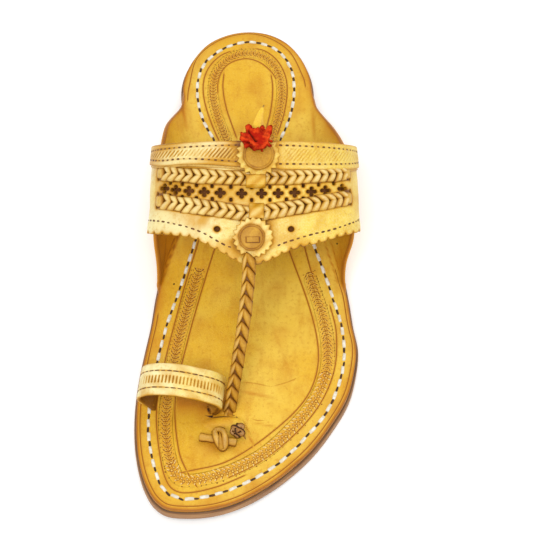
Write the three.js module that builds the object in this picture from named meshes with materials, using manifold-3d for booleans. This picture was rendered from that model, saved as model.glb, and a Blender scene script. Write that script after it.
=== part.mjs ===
// Left kolhapuri sandal in leather, millimetres, +Z up.
// Heel towards +Y, toe towards -Y, big toe at -X.
import * as THREE from 'three';
import { mergeVertices } from 'three/addons/utils/BufferGeometryUtils.js';
import Module from 'manifold-3d';

const wasm = await Module();
wasm.setup();

// Driving sizes
const LENGTH = 280;
const HEEL_HEIGHT = 9;
const OUTSOLE = 7.5;
const INSOLE = 3.5;
const TOE_SPRING = 4;
const GAP = 0.3;
const EAR_WALL = 2.2;
const BAND_WALL = 2.4;
const STRIP_WALL = 1.2;
const DISC_WALL = 1.2;
const LEAN = 0.58;

// Lifts above the wall surface of the ears' inner faces
const BAND_IN = EAR_WALL + GAP;
const BAND_OUT = BAND_IN + BAND_WALL;
const STRIP_IN = BAND_OUT + GAP;
const STRIP_OUT = STRIP_IN + STRIP_WALL;

// Outsole edge: s is the distance from the heel end, left and right are x
const SOLE = [
  { s: 0, left: 0.5, right: 0.5 },
  { s: 2, left: -11.5, right: 12.5 },
  { s: 8, left: -22.5, right: 22.5 },
  { s: 18, left: -30.5, right: 30.2 },
  { s: 30, left: -35.6, right: 34.9 },
  { s: 42, left: -36.6, right: 36.2 },
  { s: 54, left: -33.9, right: 35.0 },
  { s: 66, left: -31.6, right: 33.4 },
  { s: 82, left: -30.2, right: 32.6 },
  { s: 98, left: -31.2, right: 33.8 },
  { s: 114, left: -34.8, right: 37.6 },
  { s: 130, left: -40.2, right: 44.0 },
  { s: 145, left: -45.6, right: 49.8 },
  { s: 160, left: -48.4, right: 52.6 },
  { s: 176, left: -50.4, right: 54.6 },
  { s: 190, left: -53.0, right: 56.8 },
  { s: 204, left: -55.4, right: 55.2 },
  { s: 218, left: -57.0, right: 51.2 },
  { s: 232, left: -57.4, right: 43.2 },
  { s: 246, left: -56.4, right: 33.0 },
  { s: 258, left: -54.0, right: 21.0 },
  { s: 267, left: -50.8, right: 9.4 },
  { s: 274, left: -46.6, right: -2.6 },
  { s: 278.6, left: -40.6, right: -15.8 },
  { s: 280, left: -29, right: -29 },
];

// Sections of the foot space, each on a plane leaning forward by LEAN
const WALL = [
  { station: 40, foldL: -34.4, foldR: 34.8, wideL: -40, wideR: 41, wideZ: 34, crownX: 3, crownZ: 84 },
  { station: 56, foldL: -31.0, foldR: 32.6, wideL: -44, wideR: 46.5, wideZ: 42, crownX: 3, crownZ: 81 },
  { station: 71, foldL: -28.8, foldR: 30.8, wideL: -43.6, wideR: 49.6, wideZ: 45, crownX: 3, crownZ: 76 },
  { station: 98, foldL: -28.6, foldR: 31.0, wideL: -45.3, wideR: 51.6, wideZ: 45, crownX: 3, crownZ: 68 },
  { station: 126, foldL: -36.6, foldR: 39.8, wideL: -46.2, wideR: 52.2, wideZ: 42, crownX: 3, crownZ: 60 },
  { station: 140, foldL: -42.0, foldR: 45.0, wideL: -46.2, wideR: 50.2, wideZ: 40, crownX: 3, crownZ: 56 },
  { station: 158, foldL: -46.0, foldR: 49.4, wideL: -46.2, wideR: 49.8, wideZ: 36, crownX: 3, crownZ: 50 },
];
const WALL_FIRST = 40;
const WALL_LAST = 158;
const ROUNDNESS = 2.3;
const SIDE_PULL = 0.45;

// Cut edge of the ears, as a share of the half section: 1 is the fold, 0.5 the widest point
const EAR_RIM = [
  { station: 42, left: 0.97, right: 0.97 },
  { station: 50, left: 0.92, right: 0.93 },
  { station: 56, left: 0.81, right: 0.85 },
  { station: 62, left: 0.69, right: 0.76 },
  { station: 71, left: 0.57, right: 0.65 },
  { station: 80, left: 0.5, right: 0.55 },
  { station: 98, left: 0.46, right: 0.48 },
  { station: 120, left: 0.47, right: 0.49 },
  { station: 128, left: 0.55, right: 0.57 },
  { station: 136, left: 0.67, right: 0.68 },
  { station: 146, left: 0.82, right: 0.83 },
  { station: 157, left: 0.97, right: 0.97 },
];

// Front edge of the band before its scallops
const BAND_FRONT = [
  { across: -76, station: 122.5 },
  { across: -32, station: 123.8 },
  { across: -19, station: 130.0 },
  { across: -7, station: 137.4 },
  { across: 0, station: 138.6 },
  { across: 5, station: 137.4 },
  { across: 17, station: 131.2 },
  { across: 30, station: 127.2 },
  { across: 48, station: 122.4 },
  { across: 76, station: 120.0 },
];
const BAND_HALF = 76;
const SCALLOPS = 38;
const SCALLOP_DEPTH = 1.3;

// Hand-punched row across the band
const QUATREFOILS = [-43.9, -37.9, -31.5, -24.0, -16.4, -6.0, 3.7, 11.7, 19.7, 27.8, 34.7, 43.3];
const QUATREFOIL_SIZE = 2.8;
const PAIR_OFFSET = 3.4;
const EYE_HOLE = { station: 120, across: 17.9, radius: 1.5 };

// Smooth curve through the named columns of a table
function curveThrough(rows, xKey, yKey) {
  const xs = rows.map((row) => row[xKey]);
  const ys = rows.map((row) => row[yKey]);
  const last = xs.length - 1;
  const slope = xs.map((_, i) => {
    const a = Math.max(i - 1, 0);
    const b = Math.min(i + 1, last);
    return (ys[b] - ys[a]) / (xs[b] - xs[a]);
  });
  return (x) => {
    const at = Math.min(Math.max(x, xs[0]), xs[last]);
    let i = 0;
    while (i < last - 1 && at > xs[i + 1]) i += 1;
    const h = xs[i + 1] - xs[i];
    const t = (at - xs[i]) / h;
    const t2 = t * t;
    const t3 = t2 * t;
    return (2 * t3 - 3 * t2 + 1) * ys[i] + (t3 - 2 * t2 + t) * h * slope[i]
      + (3 * t2 - 2 * t3) * ys[i + 1] + (t3 - t2) * h * slope[i + 1];
  };
}

const smooth = (a, b, x) => THREE.MathUtils.smoothstep(x, a, b);

// Underside and top of the sole along its length
const soleBottom = (s) => HEEL_HEIGHT * (1 - smooth(60, 150, s)) + TOE_SPRING * Math.max((s - 225) / 55, 0) ** 2;
const soleTop = (s) => soleBottom(s) + OUTSOLE + INSOLE;

// From distance along the sandal to the model's own axes
const place = (x, s, z) => new THREE.Vector3(x, LENGTH / 2 - s, z);

// Outline of the sole
const rightRows = SOLE.map((row) => new THREE.Vector3(row.right, row.s, 0));
const leftRows = SOLE.slice(1, -1).reverse().map((row) => new THREE.Vector3(row.left, row.s, 0));
const outline = new THREE.CatmullRomCurve3([...rightRows, ...leftRows], true, 'centripetal');
const OUTLINE_STEPS = 12;
const outlinePoints = Array.from({ length: (rightRows.length + leftRows.length) * OUTLINE_STEPS }, (_, i) => (
  outline.getPoint(i / ((rightRows.length + leftRows.length) * OUTLINE_STEPS))
));

function edgeAt(s) {
  const crossings = [];
  outlinePoints.forEach((a, i) => {
    const b = outlinePoints[(i + 1) % outlinePoints.length];
    if ((a.y - s) * (b.y - s) <= 0 && a.y !== b.y) {
      crossings.push(a.x + (b.x - a.x) * (s - a.y) / (b.y - a.y));
    }
  });
  return { left: Math.min(...crossings), right: Math.max(...crossings) };
}

// Stations along the sole, closer together round the heel and the toe
const HEEL_ROUND = 36;
const TOE_ROUND = 48;
const ROUND_STEPS = 8;
function soleStations() {
  const stations = [];
  for (let k = 1; k <= ROUND_STEPS; k += 1) {
    stations.push(HEEL_ROUND * (1 - Math.cos((k / ROUND_STEPS) * Math.PI / 2)));
  }
  const middle = 20;
  for (let k = 1; k < middle; k += 1) {
    stations.push(HEEL_ROUND + (LENGTH - HEEL_ROUND - TOE_ROUND) * k / middle);
  }
  for (let k = ROUND_STEPS; k >= 1; k -= 1) {
    stations.push(LENGTH - TOE_ROUND * (1 - Math.cos((k / ROUND_STEPS) * Math.PI / 2)));
  }
  return stations;
}

// Closed loop of the outline: right side from heel to toe, then the left side back
function outlineLoop(stations, first, last) {
  const edges = stations.map(edgeAt);
  const right = stations.map((s, i) => new THREE.Vector2(edges[i].right, s));
  const left = stations.map((s, i) => new THREE.Vector2(edges[i].left, s)).reverse();
  return [...(first ? [first] : []), ...right, ...(last ? [last] : []), ...left];
}

function insetLoop(loop, inset) {
  return loop.map((point, i) => {
    const before = loop[(i + loop.length - 1) % loop.length];
    const after = loop[(i + 1) % loop.length];
    const along = after.clone().sub(before).normalize();
    return new THREE.Vector2(point.x - along.y * inset, point.y + along.x * inset);
  });
}

// Closed body from an indexed list of points, faces turned outwards
function body(points, triangles) {
  let volume = 0;
  triangles.forEach(([a, b, c]) => {
    volume += points[a].dot(points[b].clone().cross(points[c]));
  });
  const index = triangles.flatMap(([a, b, c]) => (volume > 0 ? [a, b, c] : [a, c, b]));
  const geometry = new THREE.BufferGeometry();
  geometry.setAttribute('position', new THREE.Float32BufferAttribute(points.flatMap((p) => p.toArray()), 3));
  geometry.setIndex(index);
  return solidFrom(geometry);
}

function solidFrom(geometry) {
  const bare = geometry.clone();
  bare.deleteAttribute('normal');
  bare.deleteAttribute('uv');
  const merged = mergeVertices(bare, 1e-4);
  return new wasm.Manifold(new wasm.Mesh({
    numProp: 3,
    vertProperties: new Float32Array(merged.attributes.position.array),
    triVerts: new Uint32Array(merged.index.array),
  }));
}

// Stack of closed loops, capped by strips from the right side to the left
function stackedLoops(loops, hasHeelTip, hasToeTip) {
  const count = loops[0].length;
  const points = loops.flat();
  const triangles = [];
  for (let level = 0; level < loops.length - 1; level += 1) {
    for (let i = 0; i < count; i += 1) {
      const j = (i + 1) % count;
      const low = level * count;
      const high = low + count;
      triangles.push([low + i, low + j, high + j], [low + i, high + j, high + i]);
    }
  }
  const cap = (base, turned) => {
    let right = hasHeelTip ? 1 : 0;
    let left = count - 1;
    const add = (a, b, c) => triangles.push(turned ? [base + a, base + c, base + b] : [base + a, base + b, base + c]);
    if (hasHeelTip) add(0, left, right);
    while (left - right > (hasToeTip ? 2 : 1)) {
      add(right, left, left - 1);
      add(right, left - 1, right + 1);
      right += 1;
      left -= 1;
    }
    if (hasToeTip) add(right, left, right + 1);
  };
  cap(0, false);
  cap((loops.length - 1) * count, true);
  return body(points, triangles);
}

// Two-sided sheet: at(i, j, side) gives its points, side 0 inside and 1 outside
// tipAt(i, side), where given, sets a tip past each cell of the last row
function sheet(columns, rows, at, tipAt) {
  const points = [];
  for (let side = 0; side < 2; side += 1) {
    for (let i = 0; i < columns; i += 1) {
      for (let j = 0; j < rows; j += 1) points.push(at(i, j, side));
    }
  }
  const id = (i, j, side) => side * columns * rows + i * rows + j;
  const triangles = [];
  const quad = (a, b, c, d) => triangles.push([a, b, c], [a, c, d]);
  for (let i = 0; i < columns - 1; i += 1) {
    for (let j = 0; j < rows - 1; j += 1) {
      quad(id(i, j, 1), id(i + 1, j, 1), id(i + 1, j + 1, 1), id(i, j + 1, 1));
      quad(id(i, j, 0), id(i, j + 1, 0), id(i + 1, j + 1, 0), id(i + 1, j, 0));
    }
    quad(id(i, 0, 0), id(i + 1, 0, 0), id(i + 1, 0, 1), id(i, 0, 1));
    const [inA, inB] = [id(i, rows - 1, 0), id(i + 1, rows - 1, 0)];
    const [outA, outB] = [id(i, rows - 1, 1), id(i + 1, rows - 1, 1)];
    if (tipAt) {
      const inTip = points.push(tipAt(i, 0)) - 1;
      const outTip = points.push(tipAt(i, 1)) - 1;
      triangles.push([outA, outB, outTip], [inA, inTip, inB]);
      quad(inA, outA, outTip, inTip);
      quad(inTip, outTip, outB, inB);
    } else {
      quad(inA, outA, outB, inB);
    }
  }
  for (let j = 0; j < rows - 1; j += 1) {
    quad(id(0, j, 0), id(0, j, 1), id(0, j + 1, 1), id(0, j + 1, 0));
    quad(id(columns - 1, j, 0), id(columns - 1, j + 1, 0), id(columns - 1, j + 1, 1), id(columns - 1, j, 1));
  }
  return body(points, triangles);
}

// Loft through closed rings of equal count, with flat ends
function loft(rings) {
  const count = rings[0].length;
  const points = rings.flat();
  const triangles = [];
  for (let k = 0; k < rings.length - 1; k += 1) {
    for (let i = 0; i < count; i += 1) {
      const j = (i + 1) % count;
      const a = k * count;
      const b = a + count;
      triangles.push([a + i, a + j, b + j], [a + i, b + j, b + i]);
    }
  }
  const cap = (ring, turned) => {
    const centre = new THREE.Vector3();
    ring.forEach((p) => centre.add(p));
    points.push(centre.divideScalar(count));
    const base = turned ? (rings.length - 1) * count : 0;
    for (let i = 0; i < count; i += 1) {
      const j = (i + 1) % count;
      const tip = points.length - 1;
      triangles.push(turned ? [base + i, base + j, tip] : [base + j, base + i, tip]);
    }
  };
  cap(rings[0], false);
  cap(rings[rings.length - 1], true);
  return body(points, triangles);
}

// The wall of the foot space: curves of the table's columns
const section = Object.fromEntries(
  ['foldL', 'foldR', 'wideL', 'wideR', 'wideZ', 'crownX', 'crownZ'].map((key) => (
    [key, curveThrough(WALL, 'station', key)]
  )),
);

// Point of a section: share is 0 at the crown, 0.5 at the widest point and 1 at the fold
function sectionPoint(station, share) {
  const side = share < 0 ? 'L' : 'R';
  const fold = section[`fold${side}`](station);
  const wide = section[`wide${side}`](station);
  const wideZ = section.wideZ(station);
  const floor = soleTop(station);
  const part = Math.abs(share) / 0.5;
  if (part <= 1) {
    const angle = part * Math.PI / 2;
    const crownX = section.crownX(station);
    const rise = Math.max(Math.cos(angle), 0) ** (2 / ROUNDNESS);
    const spread = Math.sin(angle) ** (2 / ROUNDNESS);
    return new THREE.Vector2(crownX + (wide - crownX) * spread, wideZ + (section.crownZ(station) - wideZ) * rise);
  }
  const t = part - 1;
  const knee = new THREE.Vector2(wide, floor + SIDE_PULL * (wideZ - floor));
  return new THREE.Vector2(wide, wideZ).multiplyScalar((1 - t) ** 2)
    .addScaledVector(knee, 2 * t * (1 - t))
    .addScaledVector(new THREE.Vector2(fold, floor), t * t);
}

// Point at a lift outside the wall, square to its section
function lifted(station, before, point, after, lift) {
  const along = after.clone().sub(before).normalize();
  const x = point.x - along.y * lift;
  const z = point.y + along.x * lift;
  return place(x, station + LEAN * (z - soleTop(station)), z);
}

function wallAtShare(station, share, lift) {
  const step = 0.004;
  const before = sectionPoint(station, Math.max(share - step, -1));
  const after = sectionPoint(station, Math.min(share + step, 1));
  return lifted(station, before, sectionPoint(station, share), after, lift);
}

// Point of the wall by its girth from the crown: negative is left
const GIRTH_STEPS = 120;
const girths = new Map();
function girthOf(station) {
  const key = Math.round(station * 8) / 8;
  if (!girths.has(key)) {
    const points = Array.from({ length: 2 * GIRTH_STEPS + 1 }, (_, i) => sectionPoint(key, i / GIRTH_STEPS - 1));
    const run = [0];
    for (let i = 1; i < points.length; i += 1) run.push(run[i - 1] + points[i].distanceTo(points[i - 1]));
    const crown = run[GIRTH_STEPS];
    girths.set(key, run.map((length) => length - crown));
  }
  return girths.get(key);
}

function shareAt(station, across) {
  const run = girthOf(station);
  let i = 0;
  while (i < run.length - 2 && across > run[i + 1]) i += 1;
  const t = (across - run[i]) / (run[i + 1] - run[i]);
  return (i + t) / GIRTH_STEPS - 1;
}

function onWall(station, across, lift) {
  const step = 0.5;
  const before = sectionPoint(station, shareAt(station, across - step));
  const after = sectionPoint(station, shareAt(station, across + step));
  return lifted(station, before, sectionPoint(station, shareAt(station, across)), after, lift);
}

// Sole slabs
const heelTip = new THREE.Vector2(SOLE[0].right, 0);
const toeTip = new THREE.Vector2(SOLE[SOLE.length - 1].right, LENGTH);
const soleLoop = outlineLoop(soleStations(), heelTip, toeTip);

function slab(levels) {
  const loops = levels.map(({ inset, height }) => (
    insetLoop(soleLoop, inset).map((p) => place(p.x, p.y, soleBottom(p.y) + height))
  ));
  return stackedLoops(loops, true, true);
}

function makeOutsole() {
  return slab([
    { inset: 1.0, height: 0 },
    { inset: 0.2, height: 0.8 },
    { inset: 0, height: OUTSOLE - 1.2 },
    { inset: 0.8, height: OUTSOLE },
  ]);
}

// Low heel of two leather lifts, its front edge hollowed a little
const HEEL_LENGTH = 62;
const HEEL_INSET = 0.6;
const HEEL_GROOVE = 0.6;
function makeHeel() {
  const stations = soleStations().filter((s) => s < HEEL_LENGTH - 3);
  stations.push(HEEL_LENGTH);
  const loop = outlineLoop(stations, heelTip, new THREE.Vector2(0, HEEL_LENGTH - 4));
  const half = HEEL_HEIGHT / 2;
  const levels = [
    { inset: 1.0, z: 0 },
    { inset: 0.3, z: 0.7 },
    { inset: 0, z: half - 0.5 },
    { inset: HEEL_GROOVE, z: half },
    { inset: 0, z: half + 0.5 },
    { inset: 0, z: HEEL_HEIGHT - GAP },
  ];
  const loops = levels.map(({ inset, z }) => insetLoop(loop, inset + HEEL_INSET).map((p) => place(p.x, p.y, z)));
  return stackedLoops(loops, true, true);
}

// Ears: the insole's two flaps, bent up along the folds
const EAR_COLUMNS = 15;
const EAR_ROWS = 5;
const earRim = { left: curveThrough(EAR_RIM, 'station', 'left'), right: curveThrough(EAR_RIM, 'station', 'right') };
function makeEar(sideName) {
  const sign = sideName === 'left' ? -1 : 1;
  const first = EAR_RIM[0].station;
  const last = EAR_RIM[EAR_RIM.length - 1].station;
  return sheet(EAR_COLUMNS, EAR_ROWS, (i, j, side) => {
    const station = first + (last - first) * i / (EAR_COLUMNS - 1);
    if (j === 0) {
      const fold = Math.abs(section[sideName === 'left' ? 'foldL' : 'foldR'](station));
      const x = side === 0 ? fold - 3 : fold - 0.6;
      const drop = side === 0 ? 1.4 : 2.7;
      return place(sign * x, station - LEAN * drop, soleTop(station) - drop);
    }
    const rim = earRim[sideName](station);
    const top = Math.min(rim, 0.965);
    const share = 0.98 + (top - 0.98) * (j - 1) / (EAR_ROWS - 2);
    return wallAtShare(station, sign * share, side * EAR_WALL);
  });
}

function makeBox(x0, x1, s0, s1, z0, z1) {
  const box = new THREE.BoxGeometry(x1 - x0, s1 - s0, z1 - z0);
  box.translate((x0 + x1) / 2, LENGTH / 2 - (s0 + s1) / 2, (z0 + z1) / 2);
  return solidFrom(box);
}

// Slots of the insole for the toe strap, the ring's tails and the knot's loop
const STRAP_SLOT = { x: -10, s: 225.2, width: 9, length: 6.4 };
const RING_SLOT_LEFT = { x: -46.2, s: 216.4, width: 6, length: 18 };
const RING_SLOT_RIGHT = { x: -16.6, s: 218.8, width: 6.6, length: 18 };
const BRIDGE = { x: -11.6, s: 231.6, halfWidth: 10.5, halfLength: 3.6, rise: 2.2 };
function slotCutter(slot) {
  const z = soleTop(slot.s);
  return makeBox(
    slot.x - slot.width / 2, slot.x + slot.width / 2,
    slot.s - slot.length / 2, slot.s + slot.length / 2,
    z - INSOLE - 1, z + 8,
  );
}

function makeInsole() {
  const plate = slab([
    { inset: 1.6, height: OUTSOLE + GAP },
    { inset: 1.2, height: OUTSOLE + GAP + 0.5 },
    { inset: 1.2, height: OUTSOLE + INSOLE - 0.7 },
    { inset: 1.9, height: OUTSOLE + INSOLE },
  ]);
  const hump = new THREE.SphereGeometry(1, 14, 8);
  hump.rotateX(Math.PI / 2);
  hump.scale(BRIDGE.halfWidth, BRIDGE.halfLength, BRIDGE.rise + 0.2);
  const at = place(BRIDGE.x, BRIDGE.s, soleTop(BRIDGE.s) - 0.2);
  hump.translate(at.x, at.y, at.z);
  return plate.add(makeEar('left')).add(makeEar('right')).add(solidFrom(hump))
    .subtract(slotCutter(STRAP_SLOT))
    .subtract(slotCutter(RING_SLOT_LEFT))
    .subtract(slotCutter(RING_SLOT_RIGHT));
}

// Band edges as functions of the girth
const bandFrontLine = curveThrough(BAND_FRONT, 'across', 'station');
const bandRear = (across) => 73.6 + 0.00085 * across * across;
const stripRear = (across) => bandRear(across) - 0.8;
const stripFront = (across) => 88 - 0.0006 * across * across;
const quatrefoilLine = (across) => 101.3 - 0.0013 * across * across;
const SCALLOP_PITCH = (2 * BAND_HALF) / SCALLOPS;
const scallopNotch = (across) => bandFrontLine(across) - SCALLOP_DEPTH / 2;
const scallopTip = (across) => bandFrontLine(across) + SCALLOP_DEPTH / 2;

// Punch square to the wall, with its outline given by angle
function punch(station, across, corners) {
  const rings = [BAND_IN - 2, BAND_OUT + 2].map((lift) => (
    corners.map(({ along, over }) => onWall(station + along, across + over, lift))
  ));
  return loft(rings);
}

const polygon = (count, halfAlong, halfOver, turn = 0) => Array.from({ length: count }, (_, i) => {
  const angle = 2 * Math.PI * (i + turn) / count;
  return { along: halfAlong * Math.sin(angle), over: halfOver * Math.cos(angle) };
});

// Four lobes with a narrow notch between each two
const LOBE_HALF_ANGLE = 0.4;
const NOTCH_SHARE = 0.48;
const quatrefoil = Array.from({ length: 4 }, (_, lobe) => {
  const middle = lobe * Math.PI / 2;
  return [
    { angle: middle - LOBE_HALF_ANGLE, radius: QUATREFOIL_SIZE },
    { angle: middle + LOBE_HALF_ANGLE, radius: QUATREFOIL_SIZE },
    { angle: middle + Math.PI / 4, radius: QUATREFOIL_SIZE * NOTCH_SHARE },
  ];
}).flat().map(({ angle, radius }) => ({ along: radius * Math.sin(angle), over: radius * Math.cos(angle) }));

function makeBand() {
  const rows = 5;
  const liftOf = (side) => (side === 0 ? BAND_IN : BAND_OUT);
  const girthAt = (i) => -BAND_HALF + SCALLOP_PITCH * i;
  const band = sheet(SCALLOPS + 1, rows, (i, j, side) => {
    const rear = bandRear(girthAt(i));
    const station = rear + (scallopNotch(girthAt(i)) - rear) * j / (rows - 1);
    return onWall(station, girthAt(i), liftOf(side));
  }, (i, side) => onWall(scallopTip(girthAt(i + 0.5)), girthAt(i + 0.5), liftOf(side)));
  const cutters = [];
  QUATREFOILS.forEach((across, i) => {
    cutters.push(punch(quatrefoilLine(across), across, quatrefoil));
    const next = QUATREFOILS[i + 1];
    if (next === undefined) return;
    const middle = (across + next) / 2;
    [-PAIR_OFFSET, PAIR_OFFSET].forEach((offset) => {
      cutters.push(punch(quatrefoilLine(middle) + offset, middle, polygon(4, 1.3, 1.1, 0.5)));
    });
  });
  [-1, 1].forEach((side) => {
    const round = polygon(8, EYE_HOLE.radius, EYE_HOLE.radius);
    cutters.push(punch(EYE_HOLE.station, side * EYE_HOLE.across, round));
    BRAIDS.forEach(({ line, halfWidth, reach }) => {
      const across = side * (reach + 1.2);
      cutters.push(punch(line(across), across, polygon(4, halfWidth * 1.3, 0.9, 0.5)));
    });
  });
  return cutters.reduce((solid, cutter) => solid.subtract(cutter), band);
}

// Braids: two rows of slanted strands that meet on the centre line
const BRAIDS = [
  { line: (across) => 93 - 0.00115 * across * across, halfWidth: 3.5, reach: 46.8, pitch: 4.35 },
  { line: (across) => 112.3 - (across < 0 ? 0.148 : 0.185) * Math.abs(across), halfWidth: 3.7, reach: 46.8, pitch: 4.35 },
];
const BRAID_HEIGHT = 2;
const BRAID_SINK = 0.6;
const BRAID_STEPS = 2;
const BRAID_SECTION = [
  { side: -1, share: 0.3 }, { side: -0.55, share: 1 }, { side: 0, share: 0.7 }, { side: 0.55, share: 1 },
  { side: 1, share: 0.3 },
];

// Height of the braid where strand after strand dips under the next
function strand(along, pitch, side, slant) {
  const phase = along / pitch + slant * Math.abs(side);
  const turn = phase - Math.floor(phase);
  return 1 - 0.4 * turn;
}

function makeBraid(length, pitch, height, slant, at) {
  const steps = Math.round(length / pitch * BRAID_STEPS);
  const rings = [];
  for (let k = 0; k <= steps; k += 1) {
    const along = length * k / steps;
    const end = Math.min(1, 0.45 + Math.min(k, steps - k) * 0.3);
    const ring = BRAID_SECTION.map(({ side, share }) => (
      at(along, side, height * share * strand(along, pitch, side, slant) * end)
    ));
    ring.push(at(along, 0.85, -BRAID_SINK), at(along, -0.85, -BRAID_SINK));
    rings.push(ring);
  }
  return loft(rings);
}

function makeBandBraid({ line, halfWidth, reach, pitch }) {
  return makeBraid(2 * reach, pitch, BRAID_HEIGHT, -0.5, (along, side, height) => {
    const across = along - reach;
    return onWall(line(across) + side * halfWidth, across, BAND_OUT + height);
  });
}

// Toe strap: from the band's tip down to its slot in the insole
const STRAP_ROUTE = new THREE.CubicBezierCurve3(
  place(0.4, 167, 62.4), place(0.6, 186, 55), place(-6.2, 213, 33), place(-9.6, 225.6, 8.6),
);
const STRAP_WIDTH = 6.8;
const STRAP_TAPER = 0.2;
const STRAP_HEIGHT = 2.6;
const STRAP_BACK = 1.4;
const STRAP_PITCH = 6.6;
function makeToeStrap() {
  const length = STRAP_ROUTE.getLength();
  return makeBraid(length, STRAP_PITCH, STRAP_HEIGHT, 0.5, (along, side, height) => {
    const u = along / length;
    const tangent = STRAP_ROUTE.getTangentAt(u);
    const sideways = new THREE.Vector3(1, 0, 0).addScaledVector(tangent, -tangent.x).normalize();
    const up = sideways.clone().cross(tangent).normalize();
    if (up.z < 0) up.negate();
    const half = STRAP_WIDTH / 2 * (1 - STRAP_TAPER * u);
    const rise = height < 0 ? -STRAP_BACK : height;
    return STRAP_ROUTE.getPointAt(u).addScaledVector(sideways, side * half).addScaledVector(up, rise);
  });
}

function makeUpper() {
  return makeBand().add(makeBandBraid(BRAIDS[0])).add(makeBandBraid(BRAIDS[1])).add(makeToeStrap());
}

function makeRearStrip() {
  const columns = 39;
  return sheet(columns, 3, (i, j, side) => {
    const across = -BAND_HALF + 2 * BAND_HALF * i / (columns - 1);
    const station = stripRear(across) + (stripFront(across) - stripRear(across)) * j / 2;
    return onWall(station, across, side === 0 ? STRIP_IN : STRIP_OUT);
  });
}

// Short strap over a braid: its lift follows the braid's back
const TAB_REAR = { first: 91.8, last: 98.4, centre: 93, x0: -3.9, x1: 5.6, crest: BRAID_HEIGHT };
const TAB_FRONT = { first: 106.2, last: 112.8, centre: 111.9, x0: -2.5, x1: 4.8, crest: BRAID_HEIGHT };
const TAB_WALL = 1.3;
function makeTab({ first, last, centre, x0, x1, crest }) {
  const rows = 7;
  return sheet(4, rows, (i, j, side) => {
    const station = first + (last - first) * j / (rows - 1);
    const across = x0 + (x1 - x0) * i / 3;
    const over = crest * (1 - smooth(3, 5.6, Math.abs(station - centre)));
    return onWall(station, across, BAND_OUT + GAP + over + side * TAB_WALL);
  });
}

// Disc draped on the wall: radius by angle, longer along the sandal than across
const STATION_STRETCH = 1.12;
function makeDisc({ station, across, radiusAt, corners, liftAt, levels }) {
  const ringAt = (share, level) => Array.from({ length: corners }, (_, i) => {
    const angle = 2 * Math.PI * i / corners;
    const radius = radiusAt(i, angle) * share;
    const at = station + radius * STATION_STRETCH * Math.sin(angle);
    return onWall(at, across + radius * Math.cos(angle), liftAt(at) + level);
  });
  return loft(levels.map(({ share, level }) => ringAt(share, level)));
}

const TEETH = 20;
const ROSETTE_REAR = { station: 80.7, across: 1.9, radius: 9.0 };
const ROSETTE_FRONT = { station: 124.3, across: -0.5, radius: 9.3 };
const discLevels = (thickness) => [
  { share: 0.5, level: 0 }, { share: 1, level: 0 }, { share: 1, level: thickness }, { share: 0.5, level: thickness },
];
const toothed = (radius) => (i) => radius + (i % 2 === 0 ? 0.55 : -0.45);
const rearLift = () => STRIP_OUT + GAP;

// The front rosette leans: its rear edge lies on the braid, its front edge on the band's tip
const FRONT_LEAN = 0.104;
const FRONT_REST = 135.5;
const frontLift = (at) => BAND_OUT + GAP + FRONT_LEAN * (FRONT_REST - at);

function makeRosette({ station, across, radius }, liftAt) {
  return makeDisc({
    station, across, radiusAt: toothed(radius), corners: TEETH * 2, liftAt, levels: discLevels(DISC_WALL),
  });
}

const BUTTON_RISE = 2;
const BUTTON_REAR = { station: 80.4, across: 2.1, radius: 7.3 };
const BUTTON_FRONT = { station: 124.2, across: -1.2, radius: 6.3 };
function makeButton({ station, across, radius }, liftAt) {
  return makeDisc({
    station,
    across,
    radiusAt: () => radius,
    corners: 20,
    liftAt: (at) => liftAt(at) + DISC_WALL + GAP,
    levels: [
      { share: 0.5, level: 0 }, { share: 0.96, level: 0 }, { share: 1, level: 0.8 },
      { share: 0.86, level: BUTTON_RISE - 0.3 }, { share: 0.4, level: BUTTON_RISE },
    ],
  });
}

// Pompom: a ball of wool with its locks fused on
const POMPOM = { station: 71, across: 0.7, radius: 5.6, flat: 0.72 };
const POMPOM_LIFT = STRIP_OUT + GAP + DISC_WALL + 4.6;
const GOLDEN = Math.PI * (3 - Math.sqrt(5));
const LOCKS = 16;
function makePompom() {
  const centre = onWall(POMPOM.station, POMPOM.across, POMPOM_LIFT);
  const ball = new THREE.SphereGeometry(POMPOM.radius, 10, 6);
  ball.scale(1, 1, POMPOM.flat);
  ball.translate(centre.x, centre.y, centre.z);
  let solid = solidFrom(ball);
  for (let k = 0; k < LOCKS; k += 1) {
    const height = 0.86 - 1.2 * (k + 0.5) / LOCKS;
    const ring = Math.sqrt(1 - height * height);
    const way = new THREE.Vector3(ring * Math.cos(k * GOLDEN), ring * Math.sin(k * GOLDEN), height);
    const reach = 8 + 1.1 * Math.sin(k * 2.4);
    const lock = new THREE.ConeGeometry(2.6, reach, 5, 1);
    lock.translate(0, reach / 2, 0);
    lock.applyQuaternion(new THREE.Quaternion().setFromUnitVectors(new THREE.Vector3(0, 1, 0), way));
    lock.scale(1, 1, POMPOM.flat);
    lock.translate(centre.x, centre.y, centre.z);
    solid = solid.add(solidFrom(lock));
  }
  const seat = (at) => rearLift(at) + GAP;
  return solid
    .subtract(makeButton(BUTTON_REAR, seat))
    .subtract(makeRosette(ROSETTE_REAR, seat))
    .subtract(makeTail(GAP));
}

// Strap solid along a route: width and thickness by share of the way
function makeStrap(route, steps, sideways, widthAt, thickness) {
  return sheet(steps + 1, 3, (i, j, side) => {
    const u = i / steps;
    const tangent = route.getTangentAt(u);
    const across = sideways.clone().addScaledVector(tangent, -sideways.dot(tangent)).normalize();
    const up = across.clone().cross(tangent).normalize();
    const half = widthAt(u) / 2;
    return route.getPointAt(u).addScaledVector(across, (j - 1) * half).addScaledVector(up, (side - 0.5) * thickness);
  });
}

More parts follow.
